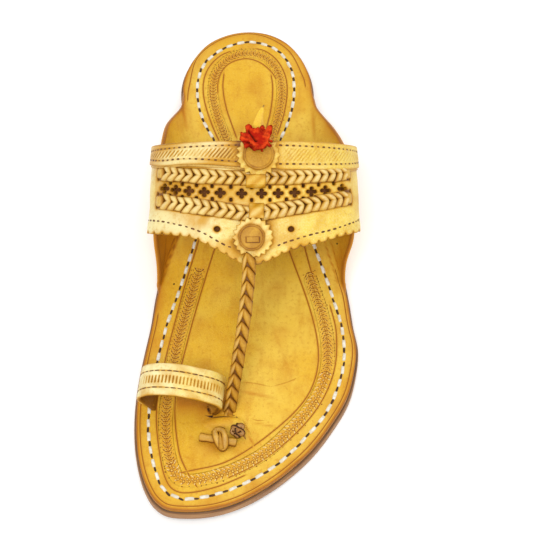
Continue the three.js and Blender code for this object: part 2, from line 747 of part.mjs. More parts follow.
// Pointed leather tail behind the wool; margin widens it all round
const SPIKE = { width: 6.3, taper: 5.6, wall: 1.1, steps: 6 };
function makeTail(margin) {
  const root = onWall(POMPOM.station, POMPOM.across, POMPOM_LIFT).add(new THREE.Vector3(-0.6, 5.2, 2.4));
  const bend = root.clone().add(new THREE.Vector3(1.2, 5.5, 2.8));
  const tip = root.clone().add(new THREE.Vector3(3.6, 11.4, 2.4));
  const route = new THREE.QuadraticBezierCurve3(root, bend, tip);
  const widthAt = (u) => SPIKE.width - SPIKE.taper * u ** 0.9 + 2 * margin;
  return makeStrap(route, SPIKE.steps, new THREE.Vector3(1, 0, 0), widthAt, SPIKE.wall + 2 * margin);
}

function makeSpike() {
  const centre = onWall(POMPOM.station, POMPOM.across, POMPOM_LIFT);
  const wool = new THREE.SphereGeometry(POMPOM.radius + GAP, 16, 10);
  wool.scale(1, 1, POMPOM.flat);
  wool.translate(centre.x, centre.y, centre.z);
  return makeTail(0).subtract(solidFrom(wool));
}

// Toe ring: a strap arch whose two tails pass down into their slots
const RING_ROUTE = [
  { x: -45.6, s: 216.6, z: 8.8 },
  { x: -47.6, s: 216.0, z: 13.6 },
  { x: -51.8, s: 215.0, z: 17 },
  { x: -53.5, s: 214.9, z: 22.5 },
  { x: -50.6, s: 215.8, z: 28.6 },
  { x: -44.5, s: 216.8, z: 32.4 },
  { x: -35.0, s: 218.0, z: 33.6 },
  { x: -25.5, s: 219.3, z: 32.2 },
  { x: -17.2, s: 219.7, z: 27.8 },
  { x: -13.1, s: 219.2, z: 20.6 },
  { x: -14.0, s: 219.0, z: 14.8 },
  { x: -17.2, s: 218.8, z: 8.8 },
];
const RING_TURN = 0.13;
const RING_WIDTH = 17;
const RING_WALL = 2;
function makeToeRing() {
  const route = new THREE.CatmullRomCurve3(RING_ROUTE.map((row) => place(row.x, row.s, row.z)), false, 'centripetal');
  const steps = 28;
  return sheet(steps + 1, 2, (i, j, side) => {
    const u = i / steps;
    const tangent = route.getTangentAt(u);
    const out = new THREE.Vector3(0, 1, 0).cross(tangent).normalize();
    const half = (j - 0.5) * RING_WIDTH;
    const lift = (side - 0.5) * RING_WALL;
    return route.getPointAt(u).addScaledVector(out, lift).add(new THREE.Vector3(RING_TURN * half, half, 0));
  });
}

// Knot in front of the bridge: the strap's end as a loop, a peg through it and a thong tied beside it
const KNOT_LOOP = { x: -14.3, width: 7.4, wall: 2.2 };
const KNOT_LOOP_SIDE = [
  { s: 236.9, rise: 0.5 },
  { s: 236.6, rise: 3.6 },
  { s: 238.3, rise: 6.0 },
  { s: 241.6, rise: 6.8 },
  { s: 245.2, rise: 5.4 },
  { s: 246.8, rise: 3.0 },
  { s: 246.7, rise: 0.5 },
];
function makeKnotLoop() {
  const route = new THREE.CatmullRomCurve3(KNOT_LOOP_SIDE.map(({ s, rise }) => (
    place(KNOT_LOOP.x + (s - 240) * 0.12, s, soleTop(s) + rise)
  )), false, 'centripetal');
  return makeStrap(route, 12, new THREE.Vector3(1, 0, 0), () => KNOT_LOOP.width, KNOT_LOOP.wall);
}

const PEG_ENDS = [{ x: -24.2, s: 239.9 }, { x: -5.8, s: 243.0 }];
const PEG_SIZE = { width: 3.6, height: 3.2 };
function makeKnotPeg() {
  const [a, b] = PEG_ENDS.map(({ x, s }) => place(x, s, soleTop(s) + GAP + PEG_SIZE.height / 2));
  const along = b.clone().sub(a).normalize();
  const aside = new THREE.Vector3(-along.y, along.x, 0).normalize();
  const stops = [{ u: 0, size: 0.6 }, { u: 0.08, size: 1 }, { u: 0.92, size: 1 }, { u: 1, size: 0.6 }];
  return loft(stops.map(({ u, size }) => Array.from({ length: 8 }, (_, i) => {
    const angle = Math.PI * (i + 0.5) / 4;
    return a.clone().lerp(b, u)
      .addScaledVector(aside, size * PEG_SIZE.width / 2 * Math.cos(angle) * 1.08)
      .add(new THREE.Vector3(0, 0, size * PEG_SIZE.height / 2 * Math.sin(angle) * 1.08));
  })));
}

const THONG = { x: -5.4, s: 236.2, rise: 4.0, radius: 2.7, cord: 1.5 };
function makeThongKnot() {
  const centre = place(THONG.x, THONG.s, soleTop(THONG.s) + THONG.rise);
  const core = new THREE.SphereGeometry(THONG.radius, 8, 5);
  core.translate(centre.x, centre.y, centre.z);
  let knot = solidFrom(core);
  [0, 1, 2].forEach((k) => {
    const turn = new THREE.TorusGeometry(THONG.radius * 0.75, THONG.cord, 5, 8);
    turn.rotateX(0.5 + k * 1.05);
    turn.rotateZ(0.6 + k * 1.1);
    turn.translate(centre.x, centre.y, centre.z);
    knot = knot.add(solidFrom(turn));
  });
  return knot;
}

const leather = (name, color, roughness) => new THREE.MeshStandardMaterial({ name, color, roughness, metalness: 0 });
const INSOLE_LEATHER = leather('insole_leather', '#dca028', 0.5);
const BAND_LEATHER = leather('band_leather', '#ecc964', 0.45);
const SOLE_LEATHER = leather('sole_leather', '#8a5a33', 0.7);
const THONG_LEATHER = leather('thong_leather', '#5f3d1c', 0.6);
const RED_WOOL = new THREE.MeshStandardMaterial({ name: 'red_wool', color: '#c9240f', roughness: 0.95, metalness: 0 });

function meshOf(name, solid, material) {
  const { vertProperties, triVerts, numProp } = solid.getMesh();
  const positions = [];
  for (let i = 0; i < vertProperties.length; i += numProp) {
    positions.push(vertProperties[i], vertProperties[i + 1], vertProperties[i + 2]);
  }
  const geometry = new THREE.BufferGeometry();
  geometry.setAttribute('position', new THREE.Float32BufferAttribute(positions, 3));
  geometry.setIndex(Array.from(triVerts));
  geometry.computeVertexNormals();
  const mesh = new THREE.Mesh(geometry, material);
  mesh.name = name;
  return mesh;
}

const sandal = new THREE.Group();
sandal.add(
  meshOf('outsole', makeOutsole(), SOLE_LEATHER),
  meshOf('heel', makeHeel(), SOLE_LEATHER),
  meshOf('insole', makeInsole(), INSOLE_LEATHER),
  meshOf('upper', makeUpper(), BAND_LEATHER),
  meshOf('rear_strip', makeRearStrip(), BAND_LEATHER),
  meshOf('rosette_rear', makeRosette(ROSETTE_REAR, rearLift), BAND_LEATHER),
  meshOf('rosette_front', makeRosette(ROSETTE_FRONT, frontLift), BAND_LEATHER),
  meshOf('button_rear', makeButton(BUTTON_REAR, rearLift), BAND_LEATHER),
  meshOf('button_front', makeButton(BUTTON_FRONT, frontLift), BAND_LEATHER),
  meshOf('centre_tab_rear', makeTab(TAB_REAR), BAND_LEATHER),
  meshOf('centre_tab_front', makeTab(TAB_FRONT), BAND_LEATHER),
  meshOf('pompom', makePompom(), RED_WOOL),
  meshOf('leather_spike', makeSpike(), INSOLE_LEATHER),
  meshOf('toe_ring', makeToeRing(), BAND_LEATHER),
  meshOf('knot_loop', makeKnotLoop(), INSOLE_LEATHER),
  meshOf('knot_peg', makeKnotPeg(), INSOLE_LEATHER),
  meshOf('thong_knot', makeThongKnot(), THONG_LEATHER),
);

// Stand the sandal on z = 0 with its box centred on the origin
const box = new THREE.Box3().setFromObject(sandal);
sandal.position.set(-(box.min.x + box.max.x) / 2, -(box.min.y + box.max.y) / 2, -box.min.z);

export default sandal;
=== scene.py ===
import math
from functools import partial

import bmesh
import bpy
import numpy as np
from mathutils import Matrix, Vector, geometry, kdtree


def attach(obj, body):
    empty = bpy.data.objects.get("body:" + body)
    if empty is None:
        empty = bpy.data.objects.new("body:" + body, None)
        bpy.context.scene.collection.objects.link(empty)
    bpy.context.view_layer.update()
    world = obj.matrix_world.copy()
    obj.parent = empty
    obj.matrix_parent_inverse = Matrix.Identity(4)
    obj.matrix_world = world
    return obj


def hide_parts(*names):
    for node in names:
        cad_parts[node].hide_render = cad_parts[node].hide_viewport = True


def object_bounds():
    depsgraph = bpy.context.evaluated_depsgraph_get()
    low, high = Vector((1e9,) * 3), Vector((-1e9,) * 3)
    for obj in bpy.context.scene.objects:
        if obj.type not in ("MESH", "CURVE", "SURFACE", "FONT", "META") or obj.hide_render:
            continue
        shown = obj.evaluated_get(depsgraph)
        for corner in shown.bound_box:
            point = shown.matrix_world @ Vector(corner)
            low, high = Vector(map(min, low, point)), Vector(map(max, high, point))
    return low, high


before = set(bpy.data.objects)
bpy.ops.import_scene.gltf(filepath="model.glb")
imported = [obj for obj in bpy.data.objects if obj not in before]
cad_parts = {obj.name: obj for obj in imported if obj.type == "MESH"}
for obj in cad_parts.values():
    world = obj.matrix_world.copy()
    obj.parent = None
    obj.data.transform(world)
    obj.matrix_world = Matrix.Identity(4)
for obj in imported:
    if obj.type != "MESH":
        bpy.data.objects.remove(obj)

# Left leather sandal: sizes are millimetres until a mesh is made, s runs from the heel end to the toe
MM = 0.001
cad_low, cad_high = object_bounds()
LENGTH = (cad_high.y - cad_low.y) / MM
HEEL_HEIGHT = 9.0
OUTSOLE = 7.5
INSOLE = 3.5
TOE_SPRING = 4.0
SPRING_START = 225
SPRING_RUN = 55
WAIST = (60, 150)
GAP = 0.3
EAR_WALL = 2.2
BAND_WALL = 2.4
STRIP_WALL = 1.2
DISC_WALL = 1.2
LEAN = 0.58
BAND_IN = EAR_WALL + GAP
BAND_OUT = BAND_IN + BAND_WALL
STRIP_IN = BAND_OUT + GAP
STRIP_OUT = STRIP_IN + STRIP_WALL

# Camera of the photograph: its axis meets the picture at AXIS_PIXEL
IMAGE_SIZE = 533
SENSOR = 36.0
CAMERA_PLACE = (0.0, -0.439214, 0.860456)
CAMERA_ELEVATION = math.radians(63.0)
FOCAL_PIXELS = 1820.4
AXIS_PIXEL = (248.0, 272.0)

LIGHTS = {
    "key_light": {"place": (-0.15, -0.6, 1.25), "size": 0.8, "power": 9.6, "colour": (1.0, 0.985, 0.965)},
    "fill_light": {"place": (0.45, 0.5, 1.1), "size": 1.0, "power": 3.2, "colour": (1.0, 0.99, 0.98)},
}
SKY_STRENGTH = 0.69
PAPER_GLOW = 0.12
FLOOR_HALF = 3.0


def linked(name, data):
    """A new object in the scene."""
    made = bpy.data.objects.new(name, data)
    bpy.context.scene.collection.objects.link(made)
    return made


def make_camera():
    """The camera that fits the photograph, with its axis off the middle of the picture."""
    data = bpy.data.cameras.new("camera")
    data.sensor_width = SENSOR
    data.lens = FOCAL_PIXELS * SENSOR / IMAGE_SIZE
    camera = linked("camera", data)
    straight = Vector((0, math.cos(CAMERA_ELEVATION), -math.sin(CAMERA_ELEVATION)))
    up = Vector((0, math.sin(CAMERA_ELEVATION), math.cos(CAMERA_ELEVATION)))
    aside = (IMAGE_SIZE / 2 - AXIS_PIXEL[0]) / FOCAL_PIXELS
    above = (AXIS_PIXEL[1] - IMAGE_SIZE / 2) / FOCAL_PIXELS
    aim = (straight + Vector((aside, 0, 0)) + up * above).normalized()
    camera.location = CAMERA_PLACE
    camera.rotation_mode = "QUATERNION"
    camera.rotation_quaternion = straight.rotation_difference(aim) @ straight.to_track_quat("-Z", "Y")
    bpy.context.scene.camera = camera


def make_light(name, place, size, power, colour):
    data = bpy.data.lights.new(name, "AREA")
    data.shape = "DISK"
    data.size = size
    data.energy = power
    data.color = colour
    light = linked(name, data)
    light.location = place
    light.rotation_mode = "QUATERNION"
    light.rotation_quaternion = (-Vector(place)).to_track_quat("-Z", "Y")


def make_studio():
    """Two soft lights, a pale sky and white paper on the ground."""
    for name, light in LIGHTS.items():
        make_light(name, **light)
    world = bpy.data.worlds.new("studio")
    world.use_nodes = True
    sky = world.node_tree.nodes["Background"].inputs
    sky["Color"].default_value = (1, 1, 1, 1)
    sky["Strength"].default_value = SKY_STRENGTH
    bpy.context.scene.world = world
    bpy.context.scene.view_settings.view_transform = "Standard"
    mesh = bpy.data.meshes.new("floor")
    low, high = -FLOOR_HALF, FLOOR_HALF
    mesh.from_pydata([(low, low, 0), (high, low, 0), (high, high, 0), (low, high, 0)], [], [(0, 1, 2, 3)])
    paper = Finish("floor_paper")
    paper.constants(Base_Color=(0.97, 0.97, 0.97, 1), Roughness=0.9, Emission_Color=(1, 1, 1, 1),
                    Emission_Strength=PAPER_GLOW)
    mesh.materials.append(paper.material)
    linked("floor", mesh)


class Value:
    """A shader socket that takes part in sums and products."""

    def __init__(self, finish, socket):
        self.finish = finish
        self.socket = socket

    def maths(self, operation, *others):
        sockets = dict(enumerate((self, *others)))
        return self.finish.node("ShaderNodeMath", {"operation": operation}, sockets)

    def reflected(self, operation, other):
        return self.finish.node("ShaderNodeMath", {"operation": operation}, {0: other, 1: self})

    def __add__(self, other):
        return self.maths("ADD", other)

    def __radd__(self, other):
        return self.reflected("ADD", other)

    def __sub__(self, other):
        return self.maths("SUBTRACT", other)

    def __rsub__(self, other):
        return self.reflected("SUBTRACT", other)

    def __mul__(self, other):
        return self.maths("MULTIPLY", other)

    def __rmul__(self, other):
        return self.reflected("MULTIPLY", other)

    def between(self, low, high):
        """0 below low, 1 above high and smooth between them."""
        limits = {"Value": self, "From Min": low, "From Max": high}
        return self.finish.node("ShaderNodeMapRange", {"interpolation_type": "SMOOTHSTEP"}, limits)


class Finish:
    """A material, whose nodes all come from one method."""

    def __init__(self, name):
        self.material = bpy.data.materials.new(name)
        self.material.use_nodes = True
        self.tree = self.material.node_tree
        self.shader = self.tree.nodes["Principled BSDF"]

    def node(self, kind, settings=None, values=None, output=0):
        made = self.tree.nodes.new(kind)
        for key, value in (settings or {}).items():
            setattr(made, key, value)
        for key, value in (values or {}).items():
            self.feed(made.inputs[key], value)
        return Value(self, made.outputs[output])

    def feed(self, socket, value):
        if isinstance(value, Value):
            self.tree.links.new(value.socket, socket)
        else:
            socket.default_value = value

    def place(self):
        return self.node("ShaderNodeTexCoord", output="Object")

    def noise(self, scale, detail=3.0, place=None, stretch=None):
        where = place or self.place()
        if stretch:
            where = self.node("ShaderNodeMapping", values={"Vector": where, "Scale": stretch})
        return self.node("ShaderNodeTexNoise", values={"Vector": where, "Scale": scale, "Detail": detail})

    def cells(self, scale):
        return self.node("ShaderNodeTexVoronoi", values={"Vector": self.place(), "Scale": scale})

    def blend(self, share, first, second):
        return self.node("ShaderNodeMix", {"data_type": "RGBA"}, {0: share, 6: first, 7: second}, output=2)

    def attribute(self, name):
        return self.node("ShaderNodeAttribute", {"attribute_name": name}, output="Fac")

    def paint(self, colour, roughness):
        self.feed(self.shader.inputs["Base Color"], colour)
        self.feed(self.shader.inputs["Roughness"], roughness)

    def relief(self, height, distance):
        bump = self.node("ShaderNodeBump", values={"Height": height, "Distance": distance})
        self.feed(self.shader.inputs["Normal"], bump)

    def constants(self, **sockets):
        for name, value in sockets.items():
            self.shader.inputs[name.replace("_", " ")].default_value = value


def rgb(red, green, blue):
    """Linear colour from the 0 to 255 values that a screen shows."""
    def linear(value):
        share = value / 255
        return share / 12.92 if share < 0.04045 else ((share + 0.055) / 1.055) ** 2.4
    return (linear(red), linear(green), linear(blue), 1.0)


def leather(name, pale, base, deep, pressed_and_shade, roughness, coat, drift=0.0):
    """Oiled leather with clouds and grain; a tone above 0 darkens it for tooled marks, stains and painted
    shade, below 0 pales it for wear and painted highlights.
    """
    finish = Finish(name)
    place = finish.place()
    across = finish.node("ShaderNodeSeparateXYZ", values={0: place}, output=0)
    clouds = finish.noise(26.0, 4.0, place) - across * drift
    spots = finish.noise(95.0, 5.0, place)
    streaks = finish.noise(150.0, 4.0, place, stretch=(1.6, 0.5, 1.0))
    tone = finish.attribute("tone")
    colour = finish.blend(clouds.between(0.38, 0.68), base, pale)
    colour = finish.blend(spots.between(0.45, 0.8) * 0.5, colour, deep)
    colour = finish.blend(streaks.between(0.48, 0.76) * 0.38, colour, deep)
    colour = finish.blend(finish.noise(540.0, 3.0, place).between(0.5, 0.78) * 0.5, colour, deep)
    colour = finish.blend(finish.noise(1300.0, 2.0, place).between(0.4, 0.8) * 0.45, colour, pale)
    # tone above 0 darkens towards deep and then the darkest colour, for tooled marks, stains and painted
    # shade; below 0 it pales, for wear and painted highlights
    colour = finish.blend(tone * 2.0, colour, deep)
    colour = finish.blend(tone * 1.8 - 0.8, colour, pressed_and_shade)
    colour = finish.blend(tone * -1.0, colour, rgb(252, 238, 192))
    finish.paint(colour, roughness + (spots - 0.5) * 0.3)
    height = finish.noise(1900.0, 3.0, place) * 0.5 + finish.cells(1500.0) * 0.35 + spots * 1.2
    finish.relief(height, 0.0003)
    finish.constants(Coat_Weight=coat, Coat_Roughness=0.35, Specular_IOR_Level=0.25)
    return finish.material


def edge_leather(name, light, dark, roughness):
    """Cut and waxed edge of a thick sole: bands of fibre along it."""
    finish = Finish(name)
    place = finish.place()
    fibre = finish.noise(90.0, 5.0, place, stretch=(0.5, 0.5, 16.0))
    clouds = finish.noise(40.0, 3.0, place)
    colour = finish.blend(fibre.between(0.35, 0.7), dark, light)
    colour = finish.blend(clouds.between(0.5, 0.8) * 0.5, colour, dark)
    colour = finish.blend(finish.attribute("tone"), colour, rgb(44, 26, 14))
    finish.paint(colour, roughness + (fibre - 0.5) * 0.3)
    finish.relief(fibre + finish.noise(1200.0, 2.0, place) * 0.3, 0.0003)
    return finish.material


def thread(name, light, dark, roughness, scale=900.0):
    """Twisted thread or thong in two shades."""
    finish = Finish(name)
    twist = finish.noise(scale, 3.0)
    colour = finish.blend(twist.between(0.35, 0.65), dark, light)
    finish.paint(colour, roughness + (twist - 0.5) * 0.2)
    finish.relief(twist, 0.0003)
    return finish.material


def wool(name):
    """Matt red wool, with painted shade where its tone attribute marks a fold."""
    finish = Finish(name)
    tuft = finish.noise(260.0, 3.0)
    fold = finish.attribute("tone")
    colour = finish.blend(tuft.between(0.38, 0.66), rgb(178, 28, 6), rgb(232, 78, 26))
    # painted shade in the folds
    colour = finish.blend(fold, colour, rgb(60, 14, 4))
    finish.paint(colour, 0.85 + (tuft - 0.5) * 0.2)
    finish.relief(finish.noise(2500.0, 2.0), 0.0002)
    finish.constants(Specular_IOR_Level=0.1)
    return finish.material


make_camera()
make_studio()
INSOLE_LEATHER = leather("insole_leather", rgb(234, 195, 72), rgb(226, 175, 36), rgb(198, 128, 14),
                         rgb(128, 66, 4), 0.5, 0.08)
BAND_LEATHER = leather("band_leather", rgb(243, 232, 172), rgb(236, 205, 88), rgb(206, 148, 26),
                       rgb(112, 62, 6), 0.46, 0.1, drift=2.6)
PLAIT_LEATHER = leather("plait_leather", rgb(234, 206, 124), rgb(216, 170, 64), rgb(172, 114, 24),
                        rgb(84, 42, 6), 0.48, 0.08, drift=0.6)
STRAP_LEATHER = leather("strap_leather", rgb(220, 172, 66), rgb(200, 146, 34), rgb(158, 100, 14),
                        rgb(70, 36, 6), 0.5, 0.08)
# dark browns of the lining, which stands for painted shade seen through the band's holes
SHADE_LINING_LEATHER = leather("shade_lining_leather", rgb(126, 76, 24), rgb(98, 56, 14), rgb(72, 38, 8),
                         rgb(44, 22, 4), 0.7, 0.0)
SPIKE_LEATHER = leather("spike_leather", rgb(250, 216, 84), rgb(240, 194, 48), rgb(206, 158, 60),
                        rgb(84, 46, 10), 0.5, 0.05)
SOLE_LEATHER = edge_leather("sole_edge", rgb(184, 134, 80), rgb(142, 94, 48), 0.6)
THONG_LEATHER = leather("thong_leather", rgb(190, 134, 62), rgb(140, 88, 32), rgb(84, 46, 10),
                        rgb(26, 12, 2), 0.6, 0.03)
WHITE_THONG = thread("white_thong", rgb(236, 232, 218), rgb(214, 205, 182), 0.6, 500.0)
DARK_THREAD = thread("dark_thread", rgb(84, 46, 12), rgb(44, 22, 6), 0.7)
BROWN_THREAD = thread("brown_thread", rgb(122, 72, 22), rgb(78, 42, 10), 0.7)
RED_WOOL = wool("red_wool")


def table(names, rows):
    """Columns of a table by name."""
    return {name: np.array(column, float) for name, column in zip(names.split(), zip(*rows))}


def way_between(t, start, end, out, back):
    """Smooth way from start to end, which leaves along out and arrives along back."""
    return ((2 * t**3 - 3 * t**2 + 1) * start + (t**3 - 2 * t**2 + t) * out
            + (3 * t**2 - 2 * t**3) * end + (t**3 - t**2) * back)


def curve_through(xs, ys):
    """Smooth curve of y by x."""
    last = len(xs) - 1
    slope = np.array([
        (ys[min(i + 1, last)] - ys[max(i - 1, 0)]) / (xs[min(i + 1, last)] - xs[max(i - 1, 0)])
        for i in range(last + 1)
    ])

    def at(x):
        x = np.clip(np.asarray(x, float), xs[0], xs[last])
        i = np.clip(np.searchsorted(xs, x, side="right") - 1, 0, last - 1)
        h = xs[i + 1] - xs[i]
        return way_between((x - xs[i]) / h, ys[i], ys[i + 1], h * slope[i], h * slope[i + 1])
    return at


def smooth(low, high, x):
    t = np.clip((np.asarray(x, float) - low) / (high - low), 0, 1)
    return t * t * (3 - 2 * t)


def bell(x, width):
    """1 at 0, falling smoothly to 0 at the width either side."""
    return 1 - smooth(0, width, np.abs(x))


# Outsole edge: s from the heel end, left and right are x
SOLE = table("s left right", [
    (0, 0.5, 0.5), (2, -11.5, 12.5), (8, -22.5, 22.5), (18, -30.5, 30.2), (30, -35.6, 34.9),
    (42, -36.6, 36.2), (54, -33.9, 35.0), (66, -31.6, 33.4), (82, -30.2, 32.6), (98, -31.2, 33.8),
    (114, -34.8, 37.6), (130, -40.2, 44.0), (145, -45.6, 49.8), (160, -48.4, 52.6), (176, -50.4, 54.6),
    (190, -53.0, 56.8), (204, -55.4, 55.2), (218, -57.0, 51.2), (232, -57.4, 43.2), (246, -56.4, 33.0),
    (258, -54.0, 21.0), (267, -50.8, 9.4), (274, -46.6, -2.6), (278.6, -40.6, -15.8), (280, -29, -29),
])

# Sections of the foot space, each on a plane leaning forward by LEAN
WALL = table("station fold_l fold_r wide_l wide_r wide_z crown_x crown_z", [
    (40, -34.4, 34.8, -40, 41, 34, 3, 84),
    (56, -31.0, 32.6, -44, 46.5, 42, 3, 81),
    (71, -28.8, 30.8, -43.6, 49.6, 45, 3, 76),
    (98, -28.6, 31.0, -45.3, 51.6, 45, 3, 68),
    (126, -36.6, 39.8, -46.2, 52.2, 42, 3, 60),
    (140, -42.0, 45.0, -46.2, 50.2, 40, 3, 56),
    (158, -46.0, 49.4, -46.2, 49.8, 36, 3, 50),
])
WALL_CURVES = {name: curve_through(WALL["station"], WALL[name]) for name in WALL if name != "station"}
ROUNDNESS = 2.3
SIDE_PULL = 0.45

# Cut edge of the ears, as a share of the half section: 1 is the fold, 0.5 the widest point
EAR_RIM = table("station left right", [
    (42, 0.97, 0.97), (50, 0.92, 0.93), (56, 0.81, 0.85), (62, 0.69, 0.76), (71, 0.57, 0.65),
    (80, 0.5, 0.55), (98, 0.46, 0.48), (120, 0.47, 0.49), (128, 0.55, 0.57), (136, 0.67, 0.68),
    (146, 0.82, 0.83), (157, 0.97, 0.97),
])


def sole_bottom(s):
    """Underside of the sole: it comes down from the heel's height and springs up at the toe."""
    s = np.asarray(s, float)
    return (HEEL_HEIGHT * (1 - smooth(*WAIST, s))
            + TOE_SPRING * np.maximum((s - SPRING_START) / SPRING_RUN, 0) ** 2)


def sole_top(s):
    return sole_bottom(s) + OUTSOLE + INSOLE


def place(x, s, z):
    """Points of the frame, still in millimetres."""
    x, s, z = np.broadcast_arrays(np.asarray(x, float), np.asarray(s, float), np.asarray(z, float))
    return np.stack([x, LENGTH / 2 - s, z], axis=-1)


def direction(vectors):
    """The vectors at length 1."""
    return vectors / np.linalg.norm(vectors, axis=-1)[..., None]


def run_length(points):
    """Length of a line up to each of its points."""
    return np.concatenate([[0], np.cumsum(np.linalg.norm(np.diff(points, axis=0), axis=1))])


def around(count):
    """Angles round a circle."""
    return np.linspace(0, 2 * math.pi, count, endpoint=False)


def squared(wave, power):
    """A sine or cosine whose circle is drawn out towards a square."""
    return np.sign(wave) * np.abs(wave) ** power


def smooth_loop(points, steps):
    """Closed centripetal curve through points, as the CAD outline has it."""
    points = np.asarray(points, float)
    count = len(points)
    made = []
    for i in range(count):
        p0, p1, p2, p3 = (points[(i + k) % count] for k in (-1, 0, 1, 2))
        d1, d2, d3 = (np.sqrt(np.linalg.norm(b - a)) for a, b in ((p0, p1), (p1, p2), (p2, p3)))
        out = ((p1 - p0) / d1 - (p2 - p0) / (d1 + d2) + (p2 - p1) / d2) * d2
        back = ((p2 - p1) / d2 - (p3 - p1) / (d2 + d3) + (p3 - p2) / d3) * d2
        t = np.linspace(0, 1, steps, endpoint=False)[:, None]
        made.append(way_between(t, p1, p2, out, back))
    return np.concatenate(made)


def resampled(points, spacing, closed=False):
    """Points a spacing apart along a line."""
    points = np.asarray(points, float)
    if closed:
        points = np.concatenate([points, points[:1]])
    run = run_length(points)
    count = max(int(round(run[-1] / spacing)), 2)
    at = np.linspace(0, run[-1], count + 1)
    if closed:
        at = at[:-1]
    return np.stack([np.interp(at, run, points[:, k]) for k in range(points.shape[1])], axis=1)


def smooth_path(points, spacing=0.8):
    """Open smooth line through points."""
    points = np.asarray(points, float)
    run = run_length(points)
    fine = np.linspace(0, run[-1], max(int(run[-1] / spacing * 4), 8))
    line = np.stack([curve_through(run, column)(fine) for column in points.T], axis=1)
    return resampled(line, spacing)


OUTLINE = smooth_loop(
    [(x, s) for x, s in zip(SOLE["right"], SOLE["s"])]
    + [(x, s) for x, s in zip(SOLE["left"][-2:0:-1], SOLE["s"][-2:0:-1])], 24)


def inset(loop, distance):
    """The loop drawn in by a distance; it runs up the right side."""
    along = direction(np.roll(loop, -1, axis=0) - np.roll(loop, 1, axis=0))
    return loop + distance * np.stack([-along[:, 1], along[:, 0]], axis=1)


def edge_line(side, distance=0.0):
    """Edge of the sole as x by s, one side of it."""
    loop = inset(OUTLINE, distance)
    tip, toe = np.argmin(loop[:, 1]), np.argmax(loop[:, 1])
    part = np.roll(loop, -tip, axis=0)
    toe = (toe - tip) % len(loop)
    half = part[:toe + 1] if side == "right" else part[toe:][::-1]
    order = np.argsort(half[:, 1])
    return lambda s: np.interp(s, half[order, 1], half[order, 0])


def section_point(station, share):
    """Point of a section: share is 0 at the crown and 1 or -1 at the folds."""
    station, share = np.broadcast_arrays(np.asarray(station, float), np.asarray(share, float))
    left = share < 0
    fold = np.where(left, WALL_CURVES["fold_l"](station), WALL_CURVES["fold_r"](station))
    wide = np.where(left, WALL_CURVES["wide_l"](station), WALL_CURVES["wide_r"](station))
    wide_z = WALL_CURVES["wide_z"](station)
    crown_x, crown_z = WALL_CURVES["crown_x"](station), WALL_CURVES["crown_z"](station)
    floor = sole_top(station)
    part = np.abs(share) * 2
    angle = np.minimum(part, 1) * math.pi / 2
    rise = np.maximum(np.cos(angle), 0) ** (2 / ROUNDNESS)
    spread = np.sin(angle) ** (2 / ROUNDNESS)
    t = np.clip(part - 1, 0, 1)
    knee = floor + SIDE_PULL * (wide_z - floor)
    low_x = wide * (1 - t) ** 2 + wide * 2 * t * (1 - t) + fold * t * t
    low_z = wide_z * (1 - t) ** 2 + knee * 2 * t * (1 - t) + floor * t * t
    x = np.where(part <= 1, crown_x + (wide - crown_x) * spread, low_x)
    z = np.where(part <= 1, wide_z + (crown_z - wide_z) * rise, low_z)
    return x, z


# Shares by girth, so that a place on the wall is given by its station and its distance across
STATION_STEP = 2.0
ACROSS_STEP = 0.5
SLOPE_STEP = 0.5
SHARE_COUNT = 481
GIRTH_STATIONS = np.arange(60.0, 161.0, STATION_STEP)
GIRTH_ACROSS = np.arange(-84.0, 84.1, ACROSS_STEP)


def girth_table():
    shares = np.linspace(-1, 1, SHARE_COUNT)
    rows = []
    for station in GIRTH_STATIONS:
        x, z = section_point(station, shares)
        run = run_length(np.stack([x, z], axis=1))
        rows.append(np.interp(GIRTH_ACROSS, run - run[SHARE_COUNT // 2], shares))
    return np.array(rows)


GIRTH_SHARES = girth_table()


def bilinear(grid, i, j):
    """Value of a grid between its points."""
    i = np.clip(i, 0, grid.shape[0] - 1.001)
    j = np.clip(j, 0, grid.shape[1] - 1.001)
    i0, j0 = i.astype(int), j.astype(int)
    ti, tj = i - i0, j - j0
    return ((grid[i0, j0] * (1 - tj) + grid[i0, j0 + 1] * tj) * (1 - ti)
            + (grid[i0 + 1, j0] * (1 - tj) + grid[i0 + 1, j0 + 1] * tj) * ti)


def share_at(station, across):
    row, column = (station - GIRTH_STATIONS[0]) / STATION_STEP, (across - GIRTH_ACROSS[0]) / ACROSS_STEP
    return bilinear(GIRTH_SHARES, row, column)


def lifted(x, z, before, after, lift):
    """A section's points moved square to it, from the points just before and after them."""
    length = np.hypot(after[0] - before[0], after[1] - before[1])
    return x - (after[1] - before[1]) / length * lift, z + (after[0] - before[0]) / length * lift


def on_wall(across, station, lift):
    """Points over the foot space, lifted square to its section."""
    across, station, lift = np.broadcast_arrays(*(np.asarray(v, float) for v in (across, station, lift)))
    spot, before, after = (
        section_point(station, share_at(station, across + aside)) for aside in (0, -SLOPE_STEP, SLOPE_STEP)
    )
    x, z = lifted(*spot, before, after, lift)
    return place(x, station + LEAN * (z - sole_top(station)), z)


def raised(base):
    """Places over the foot space by their height over the base, a number or a function of the station."""
    def at(across, station, lift=0.0):
        return on_wall(across, station, (base(station) if callable(base) else base) + lift)
    return at


def toned_mesh(name, points, faces, tone):
    """A smooth mesh from points in millimetres, with its tone attribute."""
    mesh = bpy.data.meshes.new(name)
    mesh.from_pydata((np.asarray(points, float) * MM).tolist(), [], [tuple(map(int, face)) for face in faces])
    mesh.shade_smooth()
    layer = mesh.attributes.new("tone", "FLOAT", "POINT")
    layer.data.foreach_set("value", np.clip(np.asarray(tone, np.float32), -1, 1))
    return mesh


